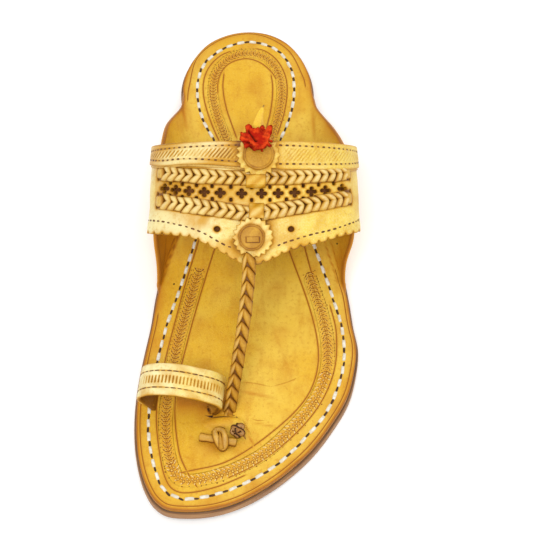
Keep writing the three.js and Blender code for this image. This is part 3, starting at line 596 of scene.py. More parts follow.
def new_piece(name, points, faces, material, tone, slot, replaces=()):
    """A mesh in the frame, its faces turned outwards."""
    points = np.asarray(points, float)
    triangles = np.array([(f[0], f[k], f[k + 1]) for f in faces for k in range(1, len(f) - 1)])
    a, b, c = (points[triangles[:, k]] for k in range(3))
    if np.einsum("ij,ij->i", a, np.cross(b, c)).sum() < 0:
        faces = [face[::-1] for face in faces]
    mesh = toned_mesh(name, points, faces, tone)
    mesh.materials.append(material)
    dressed(linked(name, mesh), replaces)


def dressed(piece, replaces=()):
    """The piece rides on the sandal and stands for the CAD nodes named."""
    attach(piece, "root")
    if replaces:
        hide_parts(*replaces)


def tube_faces(rings, count, closed=False):
    """Faces between rings of count points each; a closed tube's last ring meets its first."""
    faces = []
    for k in range(rings if closed else rings - 1):
        near, far = k * count, (k + 1) % rings * count
        faces += [(near + i, near + (i + 1) % count, far + (i + 1) % count, far + i) for i in range(count)]
    return faces


def section_at(centre, side, up, x, y):
    """A cross-section's points, carried to their place on a route."""
    return centre + np.outer(x, side) + np.outer(y, up)


def inside(points, loop):
    """Which points lie inside a closed loop."""
    x, y = points[:, 0], points[:, 1]
    found = np.zeros(len(points), bool)
    low, high = loop.min(axis=0), loop.max(axis=0)
    near = np.flatnonzero((x > low[0]) & (x < high[0]) & (y > low[1]) & (y < high[1]))
    if not len(near):
        return found
    px, py = x[near, None], y[near, None]
    a, b = loop, np.roll(loop, -1, axis=0)
    rising = (a[:, 1] > py) != (b[:, 1] > py)
    slope = (b[:, 0] - a[:, 0]) / np.where(b[:, 1] == a[:, 1], 1e-12, b[:, 1] - a[:, 1])
    crossed = rising & (px < a[:, 0] + slope * (py - a[:, 1]))
    found[near] = crossed.sum(axis=1) % 2 == 1
    return found


def divided(loop, spacing):
    """The loop with its long edges divided, its corners kept."""
    made = []
    for a, b in zip(loop, np.roll(loop, -1, axis=0)):
        count = max(int(math.ceil(np.linalg.norm(b - a) / spacing)), 1)
        made.extend(a + (b - a) * k / count for k in range(count))
    return np.array(made)


def turned(loop, clockwise):
    """The loop with its points in the order asked for."""
    nxt = np.roll(loop, -1, axis=0)
    area = (loop[:, 0] * nxt[:, 1] - nxt[:, 0] * loop[:, 1]).sum()
    return loop[::-1] if (area < 0) != clockwise else loop


def cut_flat(outline, holes, spacing, rounding):
    """A flat cut of leather: its points, triangles, border edges and distances from the border."""
    loops = [turned(divided(np.asarray(outline, float), spacing), False)]
    loops += [turned(divided(np.asarray(hole, float), spacing * 0.7), True) for hole in holes]
    border = np.concatenate(loops)
    edges = []
    start = 0
    for loop in loops:
        edges += [(start + k, start + (k + 1) % len(loop)) for k in range(len(loop))]
        start += len(loop)
    tree = kdtree.KDTree(len(border))
    for i, point in enumerate(border):
        tree.insert((point[0], point[1], 0), i)
    tree.balance()

    def gap(point):
        return tree.find((point[0], point[1], 0))[2]

    low, high = loops[0].min(axis=0), loops[0].max(axis=0)
    rows = []
    step = spacing * math.sqrt(3) / 2
    for k, v in enumerate(np.arange(low[1], high[1], step)):
        u = np.arange(low[0] + (k % 2) * spacing / 2, high[0], spacing)
        rows.append(np.stack([u, np.full_like(u, v)], axis=1))
    grid = np.concatenate(rows)
    rings = [inset(loop, rounding * share) for loop in loops for share in (0.35, 1.0)]
    reach = [rounding * share * 0.8 for loop in loops for share in (0.35, 1.0)]
    kept = [ring[[gap(p) > least for p in ring]] for ring, least in zip(rings, reach)]
    body = grid[[gap(p) > max(rounding * 1.3, spacing * 0.55) for p in grid]]
    free = np.concatenate([*kept, body])
    hit = inside(free, loops[0])
    for loop in loops[1:]:
        hit &= ~inside(free, loop)
    points = np.concatenate([border, free[hit]])
    made = geometry.delaunay_2d_cdt([Vector(p) for p in points], edges, [], 0, 1e-5)
    flat = np.array([tuple(p) for p in made[0]])
    triangles = np.array(made[2])
    middle = flat[triangles].mean(axis=1)
    good = inside(middle, loops[0])
    for loop in loops[1:]:
        good &= ~inside(middle, loop)
    triangles = triangles[good]
    distance = np.array([gap(p) for p in flat])
    directed = {(t[k], t[(k + 1) % 3]) for t in triangles.tolist() for k in range(3)}
    rim = [edge for edge in directed if (edge[1], edge[0]) not in directed]
    return flat, triangles, rim, distance


def cut_panel(name, outline, holes, at, thickness, material, spacing=1.0, rounding=0.45,
              relief=None, tone=None, edge_tone=0.2, flesh_tone=0.3, **dress):
    """A cut of leather bent into place: at(u, v, lift) gives its points, lift 0 its flesh side."""
    flat, triangles, rim, distance = cut_flat(outline, holes, spacing, rounding)
    u, v = flat[:, 0], flat[:, 1]
    drop = rounding * (1 - np.sqrt(1 - np.clip(1 - distance / rounding, 0, 1) ** 2))
    wall = thickness(u, v) if callable(thickness) else thickness
    top = wall - drop + (relief(u, v, distance) if relief else 0)
    bottom = np.minimum(drop * 0.6, 0.4)
    count = len(flat)
    points = np.concatenate([at(u, v, top), at(u, v, bottom)])
    faces = [tuple(t) for t in triangles.tolist()]
    faces += [(c + count, b + count, a + count) for a, b, c in triangles.tolist()]
    faces += [(b, a, a + count, b + count) for a, b in rim]
    shade = tone(u, v, distance) if tone else np.zeros(count)
    shade = np.maximum(shade, edge_tone * np.clip(1 - distance / rounding, 0, 1))
    flesh = np.maximum(shade * 0.5, flesh_tone)
    new_piece(name, points, faces, material, np.concatenate([shade, flesh]), **dress)


def loft(name, rings, material, tones, **dress):
    """A closed body through rings of equal count, its ends closed by a fan."""
    count = len(rings[0])
    points = np.concatenate([*rings, [rings[0].mean(axis=0), rings[-1].mean(axis=0)]])
    faces = tube_faces(len(rings), count)
    last = (len(rings) - 1) * count
    for i in range(count):
        j = (i + 1) % count
        faces.append((j, i, len(points) - 2))
        faces.append((last + i, last + j, len(points) - 1))
    tone = np.concatenate([*tones, [tones[0][0], tones[-1][0]]])
    new_piece(name, points, faces, material, tone, **dress)


# Sole: slabs built up from insets of the one outline
SOLE_STEP = 1.6
HEEL_LENGTH = 62.0


def softened(loop, passes):
    """The loop with its corners rounded."""
    for _ in range(passes):
        loop = (np.roll(loop, 1, axis=0) + 2 * loop + np.roll(loop, -1, axis=0)) / 4
    return loop


def slab(name, levels, bottom, material, loop=None, **dress):
    """Closed slab: each level has an inset, a height and a tone."""
    loop = resampled(OUTLINE if loop is None else loop, SOLE_STEP, closed=True)
    rings, tones = [], []
    for distance, height, tone in levels:
        ring = inset(loop, distance)
        rings.append(place(ring[:, 0], ring[:, 1], bottom(ring[:, 1]) + height))
        tones.append(np.full(len(ring), tone))
    count = len(loop)
    points = np.concatenate(rings)
    faces = tube_faces(len(rings), count)
    for base, flip in ((0, True), ((len(rings) - 1) * count, False)):
        flat = [Vector((p[0], p[1])) for p in points[base:base + count]]
        cap = geometry.delaunay_2d_cdt(flat, [(i, (i + 1) % count) for i in range(count)], [], 0, 1e-6)
        loop_points = np.array([tuple(p) for p in flat])
        for t in cap[2]:
            middle = loop_points[list(t)].mean(axis=0)[None]
            if inside(middle, loop_points)[0]:
                faces.append(tuple(base + i for i in (t[::-1] if flip else t)))
    new_piece(name, points, faces, material, np.concatenate(tones), **dress)


def make_sole():
    # level tones: darker at the bottom rim and dark at the top where the insole sits, a dark seam that is
    # partly painted shade in the gap
    slab("outsole_slab", [
        (1.2, 0.0, 0.3), (0.4, 0.35, 0.2), (0.05, 1.0, 0.05), (0.0, 2.6, 0.0), (0.05, 4.2, 0.0),
        (0.0, 5.6, 0.05), (0.15, 6.5, 0.2), (0.6, 7.1, 0.55), (1.4, 7.5, 0.9), (2.6, 7.5, 1.0),
    ], sole_bottom, SOLE_LEATHER, slot="sole_leather", replaces=["outsole"])
    heel = np.roll(OUTLINE, -np.argmin(OUTLINE[:, 1]), axis=0)
    heel = softened(resampled(heel[heel[:, 1] < HEEL_LENGTH], SOLE_STEP, closed=True), 8)
    half = HEEL_HEIGHT / 2
    slab("heel_lifts", [
        (1.8, 0.0, 0.4), (0.9, 0.5, 0.1), (0.6, 1.2, 0.0), (0.6, half - 0.6, 0.05), (1.1, half, 0.8),
        (0.6, half + 0.6, 0.05), (0.6, HEEL_HEIGHT - 1.0, 0.0), (0.9, HEEL_HEIGHT - GAP, 0.6),
    ], lambda s: np.zeros_like(s), SOLE_LEATHER, loop=heel, slot="sole_leather", replaces=["heel"])


# Insole: cut flat with its two ears, which bend up along the folds
FOLD_ROUND = 4.0
REST_STEP = 0.5
BEND = {side: curve_through(EAR_RIM["station"], EAR_RIM[side]) for side in ("left", "right")}
INSET = 1.2
BRIDGE = {"x": -11.6, "s": 231.6, "half_width": 10.5, "half_length": 3.6, "rise": 2.2}


def flap_rows():
    """Per side and station: the fold, the wall's curve above it and the flap's length."""
    stations = np.arange(36.0, 166.0, STATION_STEP)
    made = {}
    for side, sign in (("left", -1), ("right", 1)):
        shares = np.linspace(1.0, 0.4, 61)
        xs, zs, runs, lengths = [], [], [], []
        for station in stations:
            x, z = section_point(station, sign * shares)
            run = run_length(np.stack([x, z], axis=1))
            xs.append(np.abs(x))
            zs.append(z - sole_top(station))
            runs.append(run)
            lengths.append(np.interp(1 - BEND[side](station), 1 - shares, run))
        rows = {"x": xs, "z": zs, "run": runs, "length": lengths}
        made[side] = {name: np.array(row) for name, row in rows.items()}
    return stations, made


FLAP_STATIONS, FLAPS = flap_rows()
REST_STEPS = np.arange(0.0, 70.0, REST_STEP)


def flap_grid():
    return {
        side: [np.array([np.interp(REST_STEPS, run, row) for run, row in zip(rows["run"], rows[name])])
               for name in ("x", "z")]
        for side, rows in FLAPS.items()
    }


FLAP_GRID = flap_grid()


def bent_amount(s):
    """How far the leather follows the wall instead of lying flat."""
    return smooth(37, 47, s) * (1 - smooth(151, 161, s))


def fold_at(side, s):
    return np.abs(WALL_CURVES["fold_l" if side == "left" else "fold_r"](s))


def insole_curve(s, a):
    """Section of the insole's upper face: a is the way across from the middle, left negative."""
    x, z = a.copy(), np.zeros_like(a)
    row = (s - FLAP_STATIONS[0]) / STATION_STEP
    way, amount = np.abs(a), bent_amount(s)
    for side, sign in (("left", -1), ("right", 1)):
        fold = fold_at(side, s)
        past = way - fold
        wall_x, wall_z = (bilinear(grid, row, np.maximum(past, 0) / REST_STEP) for grid in FLAP_GRID[side])
        ends = np.full_like(past, FOLD_ROUND / REST_STEP)
        end_x, end_z = (bilinear(grid, row, ends) for grid in FLAP_GRID[side])
        t = np.clip((past + FOLD_ROUND) / (2 * FOLD_ROUND), 0, 1)
        round_x = (fold - FOLD_ROUND) * (1 - t) ** 2 + 2 * fold * t * (1 - t) + end_x * t * t
        round_z = end_z * t * t
        bent_x = np.where(past > FOLD_ROUND, wall_x, np.where(past > -FOLD_ROUND, round_x, way))
        bent_z = np.where(past > FOLD_ROUND, wall_z, np.where(past > -FOLD_ROUND, round_z, 0))
        own = a * sign > 0
        x = np.where(own, sign * (way * (1 - amount) + bent_x * amount), x)
        z = np.where(own, bent_z * amount, z)
    return x, z


def past_fold(a, s):
    """How far across a place lies past the fold of its ear."""
    return np.abs(a) - np.where(a < 0, fold_at("left", s), fold_at("right", s))


def insole_wall(a, s):
    """Thickness of the insole leather: the ears are skived thinner."""
    return INSOLE + (EAR_WALL - INSOLE) * smooth(-FOLD_ROUND, FOLD_ROUND, past_fold(a, s)) * bent_amount(s)


def on_insole(a, s, lift):
    """Points of the insole, lift 0 on its grain side."""
    a, s, lift = np.broadcast_arrays(*(np.asarray(v, float) for v in (a, s, lift)))
    x, z = insole_curve(s, a)
    before, after = (insole_curve(s, a + aside) for aside in (-SLOPE_STEP, SLOPE_STEP))
    lifted_x, lifted_z = lifted(x, z, before, after, lift)
    return place(lifted_x, s + LEAN * z, sole_top(s) + lifted_z)


def hump(a, s):
    """The bridge over the strap's end."""
    across = (a - BRIDGE["x"]) / BRIDGE["half_width"]
    along = (s - BRIDGE["s"]) / BRIDGE["half_length"]
    return BRIDGE["rise"] * np.sqrt(np.clip(1 - across**2 - along**2, 0, 1))


def insole_outline():
    """The flat cut: the sole's outline with an ear on each side."""
    stations = np.arange(38.0, 162.0, STATION_STEP)
    sides = {}
    for side, sign in (("left", -1), ("right", 1)):
        edge = np.abs(edge_line(side, INSET)(stations))
        flap = fold_at(side, stations) + np.interp(stations, FLAP_STATIONS, FLAPS[side]["length"])
        ear = smooth(38, 46, stations) * (1 - smooth(149, 159, stations))
        sides[side] = sign * (edge * (1 - ear) + flap * ear)
    loop = inset(OUTLINE, INSET)
    loop = np.roll(loop, -np.argmin(loop[:, 1]), axis=0)
    toe = np.argmax(loop[:, 1])
    right, left = loop[:toe + 1], loop[toe + 1:]
    heel_right = right[right[:, 1] < stations[0]]
    toe_right = right[right[:, 1] > stations[-1]]
    toe_left = left[left[:, 1] > stations[-1]]
    heel_left = left[left[:, 1] < stations[0]]
    ear_right = np.stack([sides["right"], stations], axis=1)
    ear_left = np.stack([sides["left"], stations], axis=1)[::-1]
    whole = np.concatenate([heel_right, ear_right, toe_right, toe_left, ear_left, heel_left])
    return resampled(whole, 1.1, closed=True)


# Creases of the insole: ends, width and depth
CREASES = [
    {"from": (-37.5, 46), "to": (-33.5, 66), "width": 2.0, "depth": 0.25},
    {"from": (35.5, 52), "to": (36.5, 72), "width": 2.2, "depth": 0.3},
    {"from": (-33.5, 116), "to": (-45.2, 152), "width": 0.9, "depth": 0.5},
    {"from": (-36.6, 118), "to": (-47.5, 148), "width": 0.8, "depth": 0.4},
    {"from": (-49, 126), "to": (-48, 146), "width": 1.2, "depth": 0.3},
    {"from": (38.5, 122), "to": (47.5, 153), "width": 0.9, "depth": 0.5},
    {"from": (44, 126), "to": (50.5, 148), "width": 1.0, "depth": 0.35},
    {"from": (-4, 214), "to": (14, 218), "width": 1.5, "depth": 0.3},
    {"from": (1, 231), "to": (16, 234), "width": 0.9, "depth": 0.3},
    {"from": (-2, 232), "to": (4, 247), "width": 0.7, "depth": 0.35},
    {"from": (-12, 190), "to": (-2, 206), "width": 1.0, "depth": 0.18},
    {"from": (12, 176), "to": (20, 200), "width": 1.2, "depth": 0.15},
    {"from": (-35.5, 120), "to": (-45.8, 149), "width": 0.5, "depth": 0.5},
]


def from_mark(mark, u, v):
    """The way along a straight mark and the distance from it, at each point."""
    start, end = np.array(mark["from"], float), np.array(mark["to"], float)
    way = end - start
    t = np.clip(((u - start[0]) * way[0] + (v - start[1]) * way[1]) / (way @ way), 0, 1)
    return t, np.hypot(u - start[0] - t * way[0], v - start[1] - t * way[1])


def crease_field(a, s):
    """Depth of the listed creases at each point."""
    total = np.zeros_like(a)
    for crease in CREASES:
        t, away = from_mark(crease, a, s)
        fade = np.sin(np.clip(t, 0.02, 0.98) * math.pi) ** 0.5
        total += crease["depth"] * fade * bell(away, crease["width"])
    return total


def insole_relief(a, s, _distance=None):
    swell = 0.18 * np.sin(a / 13 + 0.6) * np.sin(s / 21 + 1.1)
    return hump(a, s) + swell - crease_field(a, s)


def insole_tone(a, s, distance):
    """Dark on edges and creases; painted shade in the front of the ears, deeper on the left; a painted shadow
    under the toe ring; dark by the knots; pale on the bridge.
    """
    # painted shade on the front part of the ears, where the band shades them
    in_ear = smooth(-1.5, 2.5, past_fold(a, s)) * smooth(108, 124, s) * (1 - smooth(148, 158, s))
    scuff = bell(np.hypot((a + 5.5) / 4.5, (s - 230.6) / 2.2), 1.0) * (0.6 + 0.4 * np.sin(a * 3 + s * 5))
    cut_edge = 0.55 * np.exp(-distance / 0.9)
    darkening = 0.14 * np.exp(-distance / 5.0) * (1 + np.sin(s / 6.3 + 0.4 * a / 5)) / 2
    rim = 0.22 * np.exp(-distance / 5.0)
    mottle = 0.12 * smooth(0.1, 0.9, np.sin(a / 4.7 + s / 9.1) * np.sin(s / 7.3 - a / 11))
    # painted shadow of the toe ring on the insole
    ring_shadow = smooth(-42, -34, a) * (1 - smooth(-14, -6, a)) * np.exp(-((s - 219) / 8) ** 2)
    by_knot = np.exp(-((a + 15) / 9) ** 2 - ((s - 243.5) / 4.5) ** 2)
    # the left ear gets more painted shade than the right
    dark = crease_field(a, s) * 1.1 + cut_edge + (0.3 - 0.16 * np.sign(a)) * in_ear
    dark += darkening + mottle + rim + 0.55 * ring_shadow + 0.42 * by_knot
    return np.clip(dark, 0, 0.8) - 0.8 * scuff


def over_flesh(a, s, lift):
    """Points of the insole, lift 0 on its flesh side."""
    return on_insole(a, s, lift - insole_wall(a, s))


def make_insole():
    cut_panel("insole_with_ears", insole_outline(), [], over_flesh, insole_wall, INSOLE_LEATHER, spacing=1.25,
              rounding=0.7, relief=insole_relief, tone=insole_tone, edge_tone=0.8, flesh_tone=0.15,
              slot="insole_leather", replaces=["insole"])


# Cut slits round the bridge, as x, s; every section gives its share of the half width, height and tone, dark
# in the middle as painted shade in the cut
SLITS = [
    [(-21.4, 227.6), (-16.5, 228.4), (-11.6, 228.2), (-7.2, 228.0), (-4.2, 229.2)],
    [(-18.4, 236.6), (-16.6, 235.3), (-13.2, 234.9), (-10.2, 235.6)],
]
SLIT_SECTION = [
    (-1.0, 0.0, 0.15), (-0.6, 0.12, 0.35), (-0.3, 0.07, 1.0), (0.0, 0.06, 1.0), (0.3, 0.07, 1.0),
    (0.6, 0.12, 0.35), (1.0, 0.0, 0.15),
]

# Lines and stitches of the insole as x, s, from the heel's left to its right or down the left side
HEEL_STITCH = [
    (-15.5, 80), (-18.6, 71), (-24.4, 58.5), (-27.6, 42.9), (-26.6, 30), (-22.4, 20.4), (-11.3, 11.3),
    (2.2, 8.3), (15.9, 13.6), (23.6, 26), (25.1, 41.8), (22.4, 57.4), (17.5, 70.9), (14.5, 80),
]
FORE_STITCH = [
    (-26.5, 124), (-31.8, 142.9), (-36, 158.1), (-40.9, 174), (-44.6, 189.6), (-48.2, 210.8), (-50, 231),
    (-48.2, 247.9), (-42.9, 265.3), (-36.8, 270.9), (-29.2, 272.8), (-13.8, 269.7), (1.5, 262.8),
    (15.7, 253.1), (27.7, 240.8), (38.6, 227.2), (45.7, 211.9), (49.1, 196.3), (48.4, 178.8),
    (44.6, 163.3), (40.1, 147.6), (32.5, 124),
]
TOOL_LINES = [
    [(-33.5, 48.8), (-32.2, 37.5), (-27.6, 17.9), (-13.3, 5.6), (4.8, 3.1), (21.6, 12.9), (30.3, 31.4),
     (31.7, 39.8)],
    [(-14.6, 74), (-19.4, 62), (-23.6, 47), (-24.4, 35), (-21.6, 25), (-15.4, 17.3), (-7.5, 13.2)],
    [(2.0, 12.0), (9.5, 14.2), (16.2, 20.6), (20.6, 31), (21.3, 42), (19.4, 55), (15.2, 70)],
    [(-11.8, 74), (-16.6, 60), (-20.4, 44), (-20.6, 34)],
    [(-5.4, 72), (-8.1, 63.7), (-11.8, 51), (-13.7, 38), (-13.0, 26.5)],
    [(-16.4, 44.0), (-16.2, 33), (-12.5, 24.4), (-6.4, 20.2), (0.6, 19.3), (7.6, 22.4), (13.4, 28.6),
     (16.4, 35)],
    [(12.4, 27.5), (13.5, 38), (12.4, 52), (9.4, 66)],
    [(-25.4, 126), (-32.4, 152.3), (-37.2, 173.4), (-42.4, 198), (-46.1, 225), (-43, 253.4),
     (-38.5, 266.0), (-31.5, 269.5), (-15.8, 266.4), (0.5, 259.2)],
    [(28.4, 126), (34.5, 151.7), (38.4, 163.9)],
    [(42.1, 163.9), (45.4, 181), (44.1, 201.9), (36.5, 221), (22.5, 238.7), (4.5, 253.8), (-12.0, 262.5)],
    [(-16.4, 129), (-22, 149), (-31, 186.2), (-36.7, 218.5), (-34.4, 246.8), (-28.6, 261),
     (-23.8, 268.0)],
    [(-36.4, 259.4), (-31, 258.1), (-9.7, 252.1), (14.9, 234), (30.5, 216), (36, 196.3), (32.8, 170.8),
     (20.0, 129)],
]
FORE_OUTER = 3.2


def outer_tool_line(first, last):
    """Line parallel to the edge, from the left side round the toe to the right side."""
    loop = inset(OUTLINE, FORE_OUTER)
    loop = np.roll(loop, -np.argmin(loop[:, 1]), axis=0)[::-1]
    toe = np.argmax(loop[:, 1])
    left, right = loop[:toe], loop[toe:]
    return np.concatenate([left[left[:, 1] > first], right[right[:, 1] > last]])


TOOL_HALF = 0.7
TOOL_SECTION = [
    (-1.0, 0.0, 0.2), (-0.66, 0.14, 0.1), (-0.42, 0.08, 0.62), (0.0, 0.05, 0.9), (0.42, 0.08, 0.62),
    (0.66, 0.14, 0.1), (1.0, 0.0, 0.2),
]
SCRATCHES = [
    [(-2.9, 229.5), (-0.6, 234.0), (2.1, 238.9)], [(1.0, 229.0), (5.0, 230.2), (9.4, 230.0)],
    [(-4.0, 209.0), (4.0, 210.0), (11.2, 211.6)], [(11.8, 211.6), (19.0, 209.6), (26.0, 206.5)],
]
SCRATCH_SECTION = [(-1.0, 0.0, 0.05), (0.0, 0.05, 0.42), (1.0, 0.0, 0.05)]
PIN_HOLES = [(-38.6, 153.4, 0.5), (50.6, 129.8, 0.6)]


def insole_lines(name, lines, half=TOOL_HALF, section=TOOL_SECTION, material=INSOLE_LEATHER):
    """Pressed lines: ribbons of the given section on the insole, closed underneath."""
    columns = [*section, *((share * 0.7, -0.5, 0.5) for share in (1.0, -1.0))]
    points, faces, tones = [], [], []
    for line in lines:
        path = smooth_path(line)
        along = direction(np.gradient(path, axis=0))
        aside = np.stack([-along[:, 1], along[:, 0]], axis=1)
        step = np.arange(len(path))
        taper = np.clip(np.minimum(step, step[::-1]) / 4, 0.25, 1)
        grid = sum(map(len, points)) + np.arange(len(columns) * len(path)).reshape(len(columns), -1)
        for share, height, tone in columns:
            a, s = (path + aside * (share * half * taper)[:, None]).T
            points.append(on_insole(a, s, insole_relief(a, s) + height * taper))
            tones.append(tone * taper)
        for near, far in zip(grid, np.roll(grid, -1, axis=0)):
            faces += zip(near[:-1], near[1:], far[1:], far[:-1])
        faces += [tuple(grid[::-1, 0]), tuple(grid[:, -1])]
    new_piece(name, np.concatenate(points), faces, material, np.concatenate(tones), "insole_leather")


def make_insole_lines():
    insole_lines("insole_tool_lines", TOOL_LINES + [outer_tool_line(168, 140)[::6]])
    insole_lines("insole_slits", SLITS, half=0.8, section=SLIT_SECTION, material=THONG_LEATHER)
    insole_lines("insole_scratches", SCRATCHES, half=0.4, section=SCRATCH_SECTION)


def normals_of(at, path):
    """Direction square to the surface at each point of a path on it."""
    step = 0.4
    u = at(path[:, 0] + step, path[:, 1]) - at(path[:, 0] - step, path[:, 1])
    v = at(path[:, 0], path[:, 1] + step) - at(path[:, 0], path[:, 1] - step)
    up = np.cross(u, v)
    up[up[:, 2] < 0] *= -1
    return direction(up)


def marked_points(points, edges, **vectors):
    """Bare points and edges that carry directions as attributes."""
    mesh = bpy.data.meshes.new("guide")
    mesh.from_pydata((np.asarray(points) * MM).tolist(), edges, [])
    for key, values in vectors.items():
        layer = mesh.attributes.new(key, "FLOAT_VECTOR", "POINT")
        layer.data.foreach_set("vector", np.array(values, np.float32).ravel())
    return linked("guide", mesh)


def guide(paths, at):
    """Edges along paths on a surface, with the surface's own direction as an attribute."""
    points, ups, edges = [], [], []
    for path in paths:
        base = sum(map(len, points))
        points.append(at(path[:, 0], path[:, 1]))
        ups.append(normals_of(at, path))
        edges += [(base + i, base + i + 1) for i in range(len(path) - 1)]
    return marked_points(np.concatenate(points), edges, up=np.concatenate(ups))


RUN_INPUTS = {
    "Geometry": "Geometry", "Unit": "Object", "Pitch": "Float", "Size jitter": "Float",
    "Turn jitter": "Float", "Seed": "Int", "Material": "Material",
}


class Tree:
    """A geometry tree with the inputs of a run, whose nodes all come from one method."""

    def __init__(self, name):
        self.group = bpy.data.node_groups.new(name, "GeometryNodeTree")
        sockets = self.group.interface
        sockets.new_socket("Geometry", in_out="OUTPUT", socket_type="NodeSocketGeometry")
        self.inputs = {
            key: sockets.new_socket(key, in_out="INPUT", socket_type=f"NodeSocket{kind}").identifier
            for key, kind in RUN_INPUTS.items()
        }

    def node(self, kind, values=None, **settings):
        made = self.group.nodes.new(kind)
        for key, value in settings.items():
            setattr(made, key, value)
        for key, value in (values or {}).items():
            if isinstance(value, bpy.types.NodeSocket):
                self.group.links.new(value, made.inputs[key])
            else:
                made.inputs[key].default_value = value
        return made.outputs

    def named(self, name):
        read = self.node("GeometryNodeInputNamedAttribute", {"Name": name}, data_type="FLOAT_VECTOR")
        return read["Attribute"]

    def random(self, low, high, seed):
        return self.node("FunctionNodeRandomValue", {2: low, 3: high, "Seed": seed}, data_type="FLOAT")[1]

    def maths(self, operation, first, second):
        return self.node("ShaderNodeMath", {0: first, 1: second}, operation=operation)[0]


def run_tree(follows_path):
    """Copies of a unit along guide lines, or on guide points, each turned to its surface."""
    tree = Tree("unit_run" if follows_path else "unit_scatter")
    entry = tree.node("NodeGroupInput")
    size_jitter, turn_jitter, seed = entry["Size jitter"], entry["Turn jitter"], entry["Seed"]
    if follows_path:
        line = tree.node("GeometryNodeMeshToCurve", {"Mesh": entry["Geometry"]})
        run = {"Curve": line[0], "Length": entry["Pitch"]}
        points = tree.node("GeometryNodeCurveToPoints", run, mode="LENGTH")
        spots, along = points["Points"], points["Tangent"]
    else:
        spots, along = entry["Geometry"], tree.named("along")
    axes = {"Primary Axis": tree.named("up"), "Secondary Axis": along}
    facing = tree.node("FunctionNodeAxesToRotation", axes, primary_axis="Z", secondary_axis="X")
    turn = tree.random(tree.maths("SUBTRACT", 0.0, turn_jitter), turn_jitter, seed)
    spin = tree.node("ShaderNodeCombineXYZ", {"Z": turn})
    turned_by = tree.node("FunctionNodeRotateRotation", {"Rotation": facing[0], "Rotate By": spin[0]},
                          rotation_space="LOCAL")
    smallest, largest = (tree.maths(operation, 1.0, size_jitter) for operation in ("SUBTRACT", "ADD"))
    copies = tree.node("GeometryNodeInstanceOnPoints", {
        "Points": spots,
        "Instance": tree.node("GeometryNodeObjectInfo", {"Object": entry["Unit"]})["Geometry"],
        "Rotation": turned_by[0],
        "Scale": tree.random(smallest, largest, tree.maths("ADD", seed, 7.0)),
    })
    real = tree.node("GeometryNodeRealizeInstances", {"Geometry": copies[0]})
    painted = tree.node("GeometryNodeSetMaterial", {"Geometry": real[0], "Material": entry["Material"]})
    tree.node("NodeGroupOutput", {"Geometry": painted[0]})
    return tree


RUN_TREE = run_tree(True)
SCATTER_TREE = run_tree(False)


def unit_mesh(points, faces, tone):
    """A unit for the runs, at the origin: X along the path, Z off the surface."""
    mesh = toned_mesh("unit", points, faces, tone)
    shell = bmesh.new()
    shell.from_mesh(mesh)
    bmesh.ops.recalc_face_normals(shell, faces=shell.faces)
    shell.to_mesh(mesh)
    shell.free()
    return bpy.data.objects.new("unit", mesh)


def repeated(name, guide_piece, unit, material, pitch=1.0, jitter=(0.0, 0.0), seed=1, tree=RUN_TREE,
             replaces=()):
    """A plain mesh of all the copies, with jitter of size and turn; the guide is gone afterwards."""
    modifier = guide_piece.modifiers.new("run", "NODES")
    modifier.node_group = tree.group
    values = {"Unit": unit, "Pitch": pitch * MM, "Size jitter": jitter[0], "Turn jitter": jitter[1],
              "Seed": seed, "Material": material}
    for key, value in values.items():
        modifier[tree.inputs[key]] = value
    bpy.context.view_layer.update()
    evaluated = guide_piece.evaluated_get(bpy.context.evaluated_depsgraph_get())
    mesh = bpy.data.meshes.new_from_object(evaluated)
    mesh.name = name
    guide_piece.modifiers.clear()
    bpy.data.objects.remove(guide_piece)
    bpy.data.objects.remove(unit)
    dressed(linked(name, mesh), replaces)


PILLOW_LEVELS = [(1.0, -0.4), (1.0, 0.15), (0.86, 0.7), (0.5, 1.0)]


def pillow(half_length, half_width, height, shift=0.0, count=10, squareness=0.5, tone=0.0):
    """Points, faces and tones of a low rounded lozenge, with its flat underside a little sunk."""
    angle = 2 * math.pi * (np.arange(count) + 0.5) / count
    x, y = squared(np.cos(angle), squareness), squared(np.sin(angle), squareness)
    points = [(shift + half_length * share * a, half_width * share * b, height * rise)
              for share, rise in PILLOW_LEVELS for a, b in zip(x, y)]
    faces = tube_faces(len(PILLOW_LEVELS), count)
    faces.append(tuple(range(count))[::-1])
    faces.append(tuple(range(len(points) - count, len(points))))
    return points, faces, [tone] * len(points)


def joined(parts):
    """One set of points, faces and tones from several."""
    points, faces, tones = [], [], []
    for part_points, part_faces, part_tones in parts:
        base = len(points)
        points += list(part_points)
        faces += [tuple(base + i for i in face) for face in part_faces]
        tones += list(part_tones)
    return points, faces, tones


def insole_top(a, s):
    return on_insole(a, s, insole_relief(a, s))


def make_insole_stitches():
    for name, line, pitch, seed in (("heel", HEEL_STITCH, 6.5, 3), ("fore", FORE_STITCH, 7.3, 5)):
        path = smooth_path(line)
        white = unit_mesh(*pillow(pitch * 0.31, 0.88, 0.75, squareness=0.35))
        repeated(f"{name}_stitches", guide([path], insole_top), white, WHITE_THONG, pitch,
                 jitter=(0.08, 0.07), seed=seed)
        dark = unit_mesh(*pillow(pitch * 0.22, 0.62, 0.25, shift=pitch / 2, squareness=0.8))
        repeated(f"{name}_stitch_holes", guide([path], insole_top), dark, DARK_THREAD, pitch,
                 jitter=(0.1, 0.05), seed=seed + 1)


def make_pin_holes():
    """Small round holes, drawn as dark spots of painted shade on the leather."""
    parts = []
    for x, s, radius in PIN_HOLES:
        points, faces, tones = pillow(radius, radius, 0.06, squareness=1.0, tone=1.0)
        a, along, z = np.array(points).T
        parts.append((on_insole(x + a, s + along, insole_relief(x + a, s + along) + z), faces, tones))
    points, faces, tones = joined(parts)
    new_piece("insole_pin_holes", points, faces, THONG_LEATHER, tones, "insole_leather")


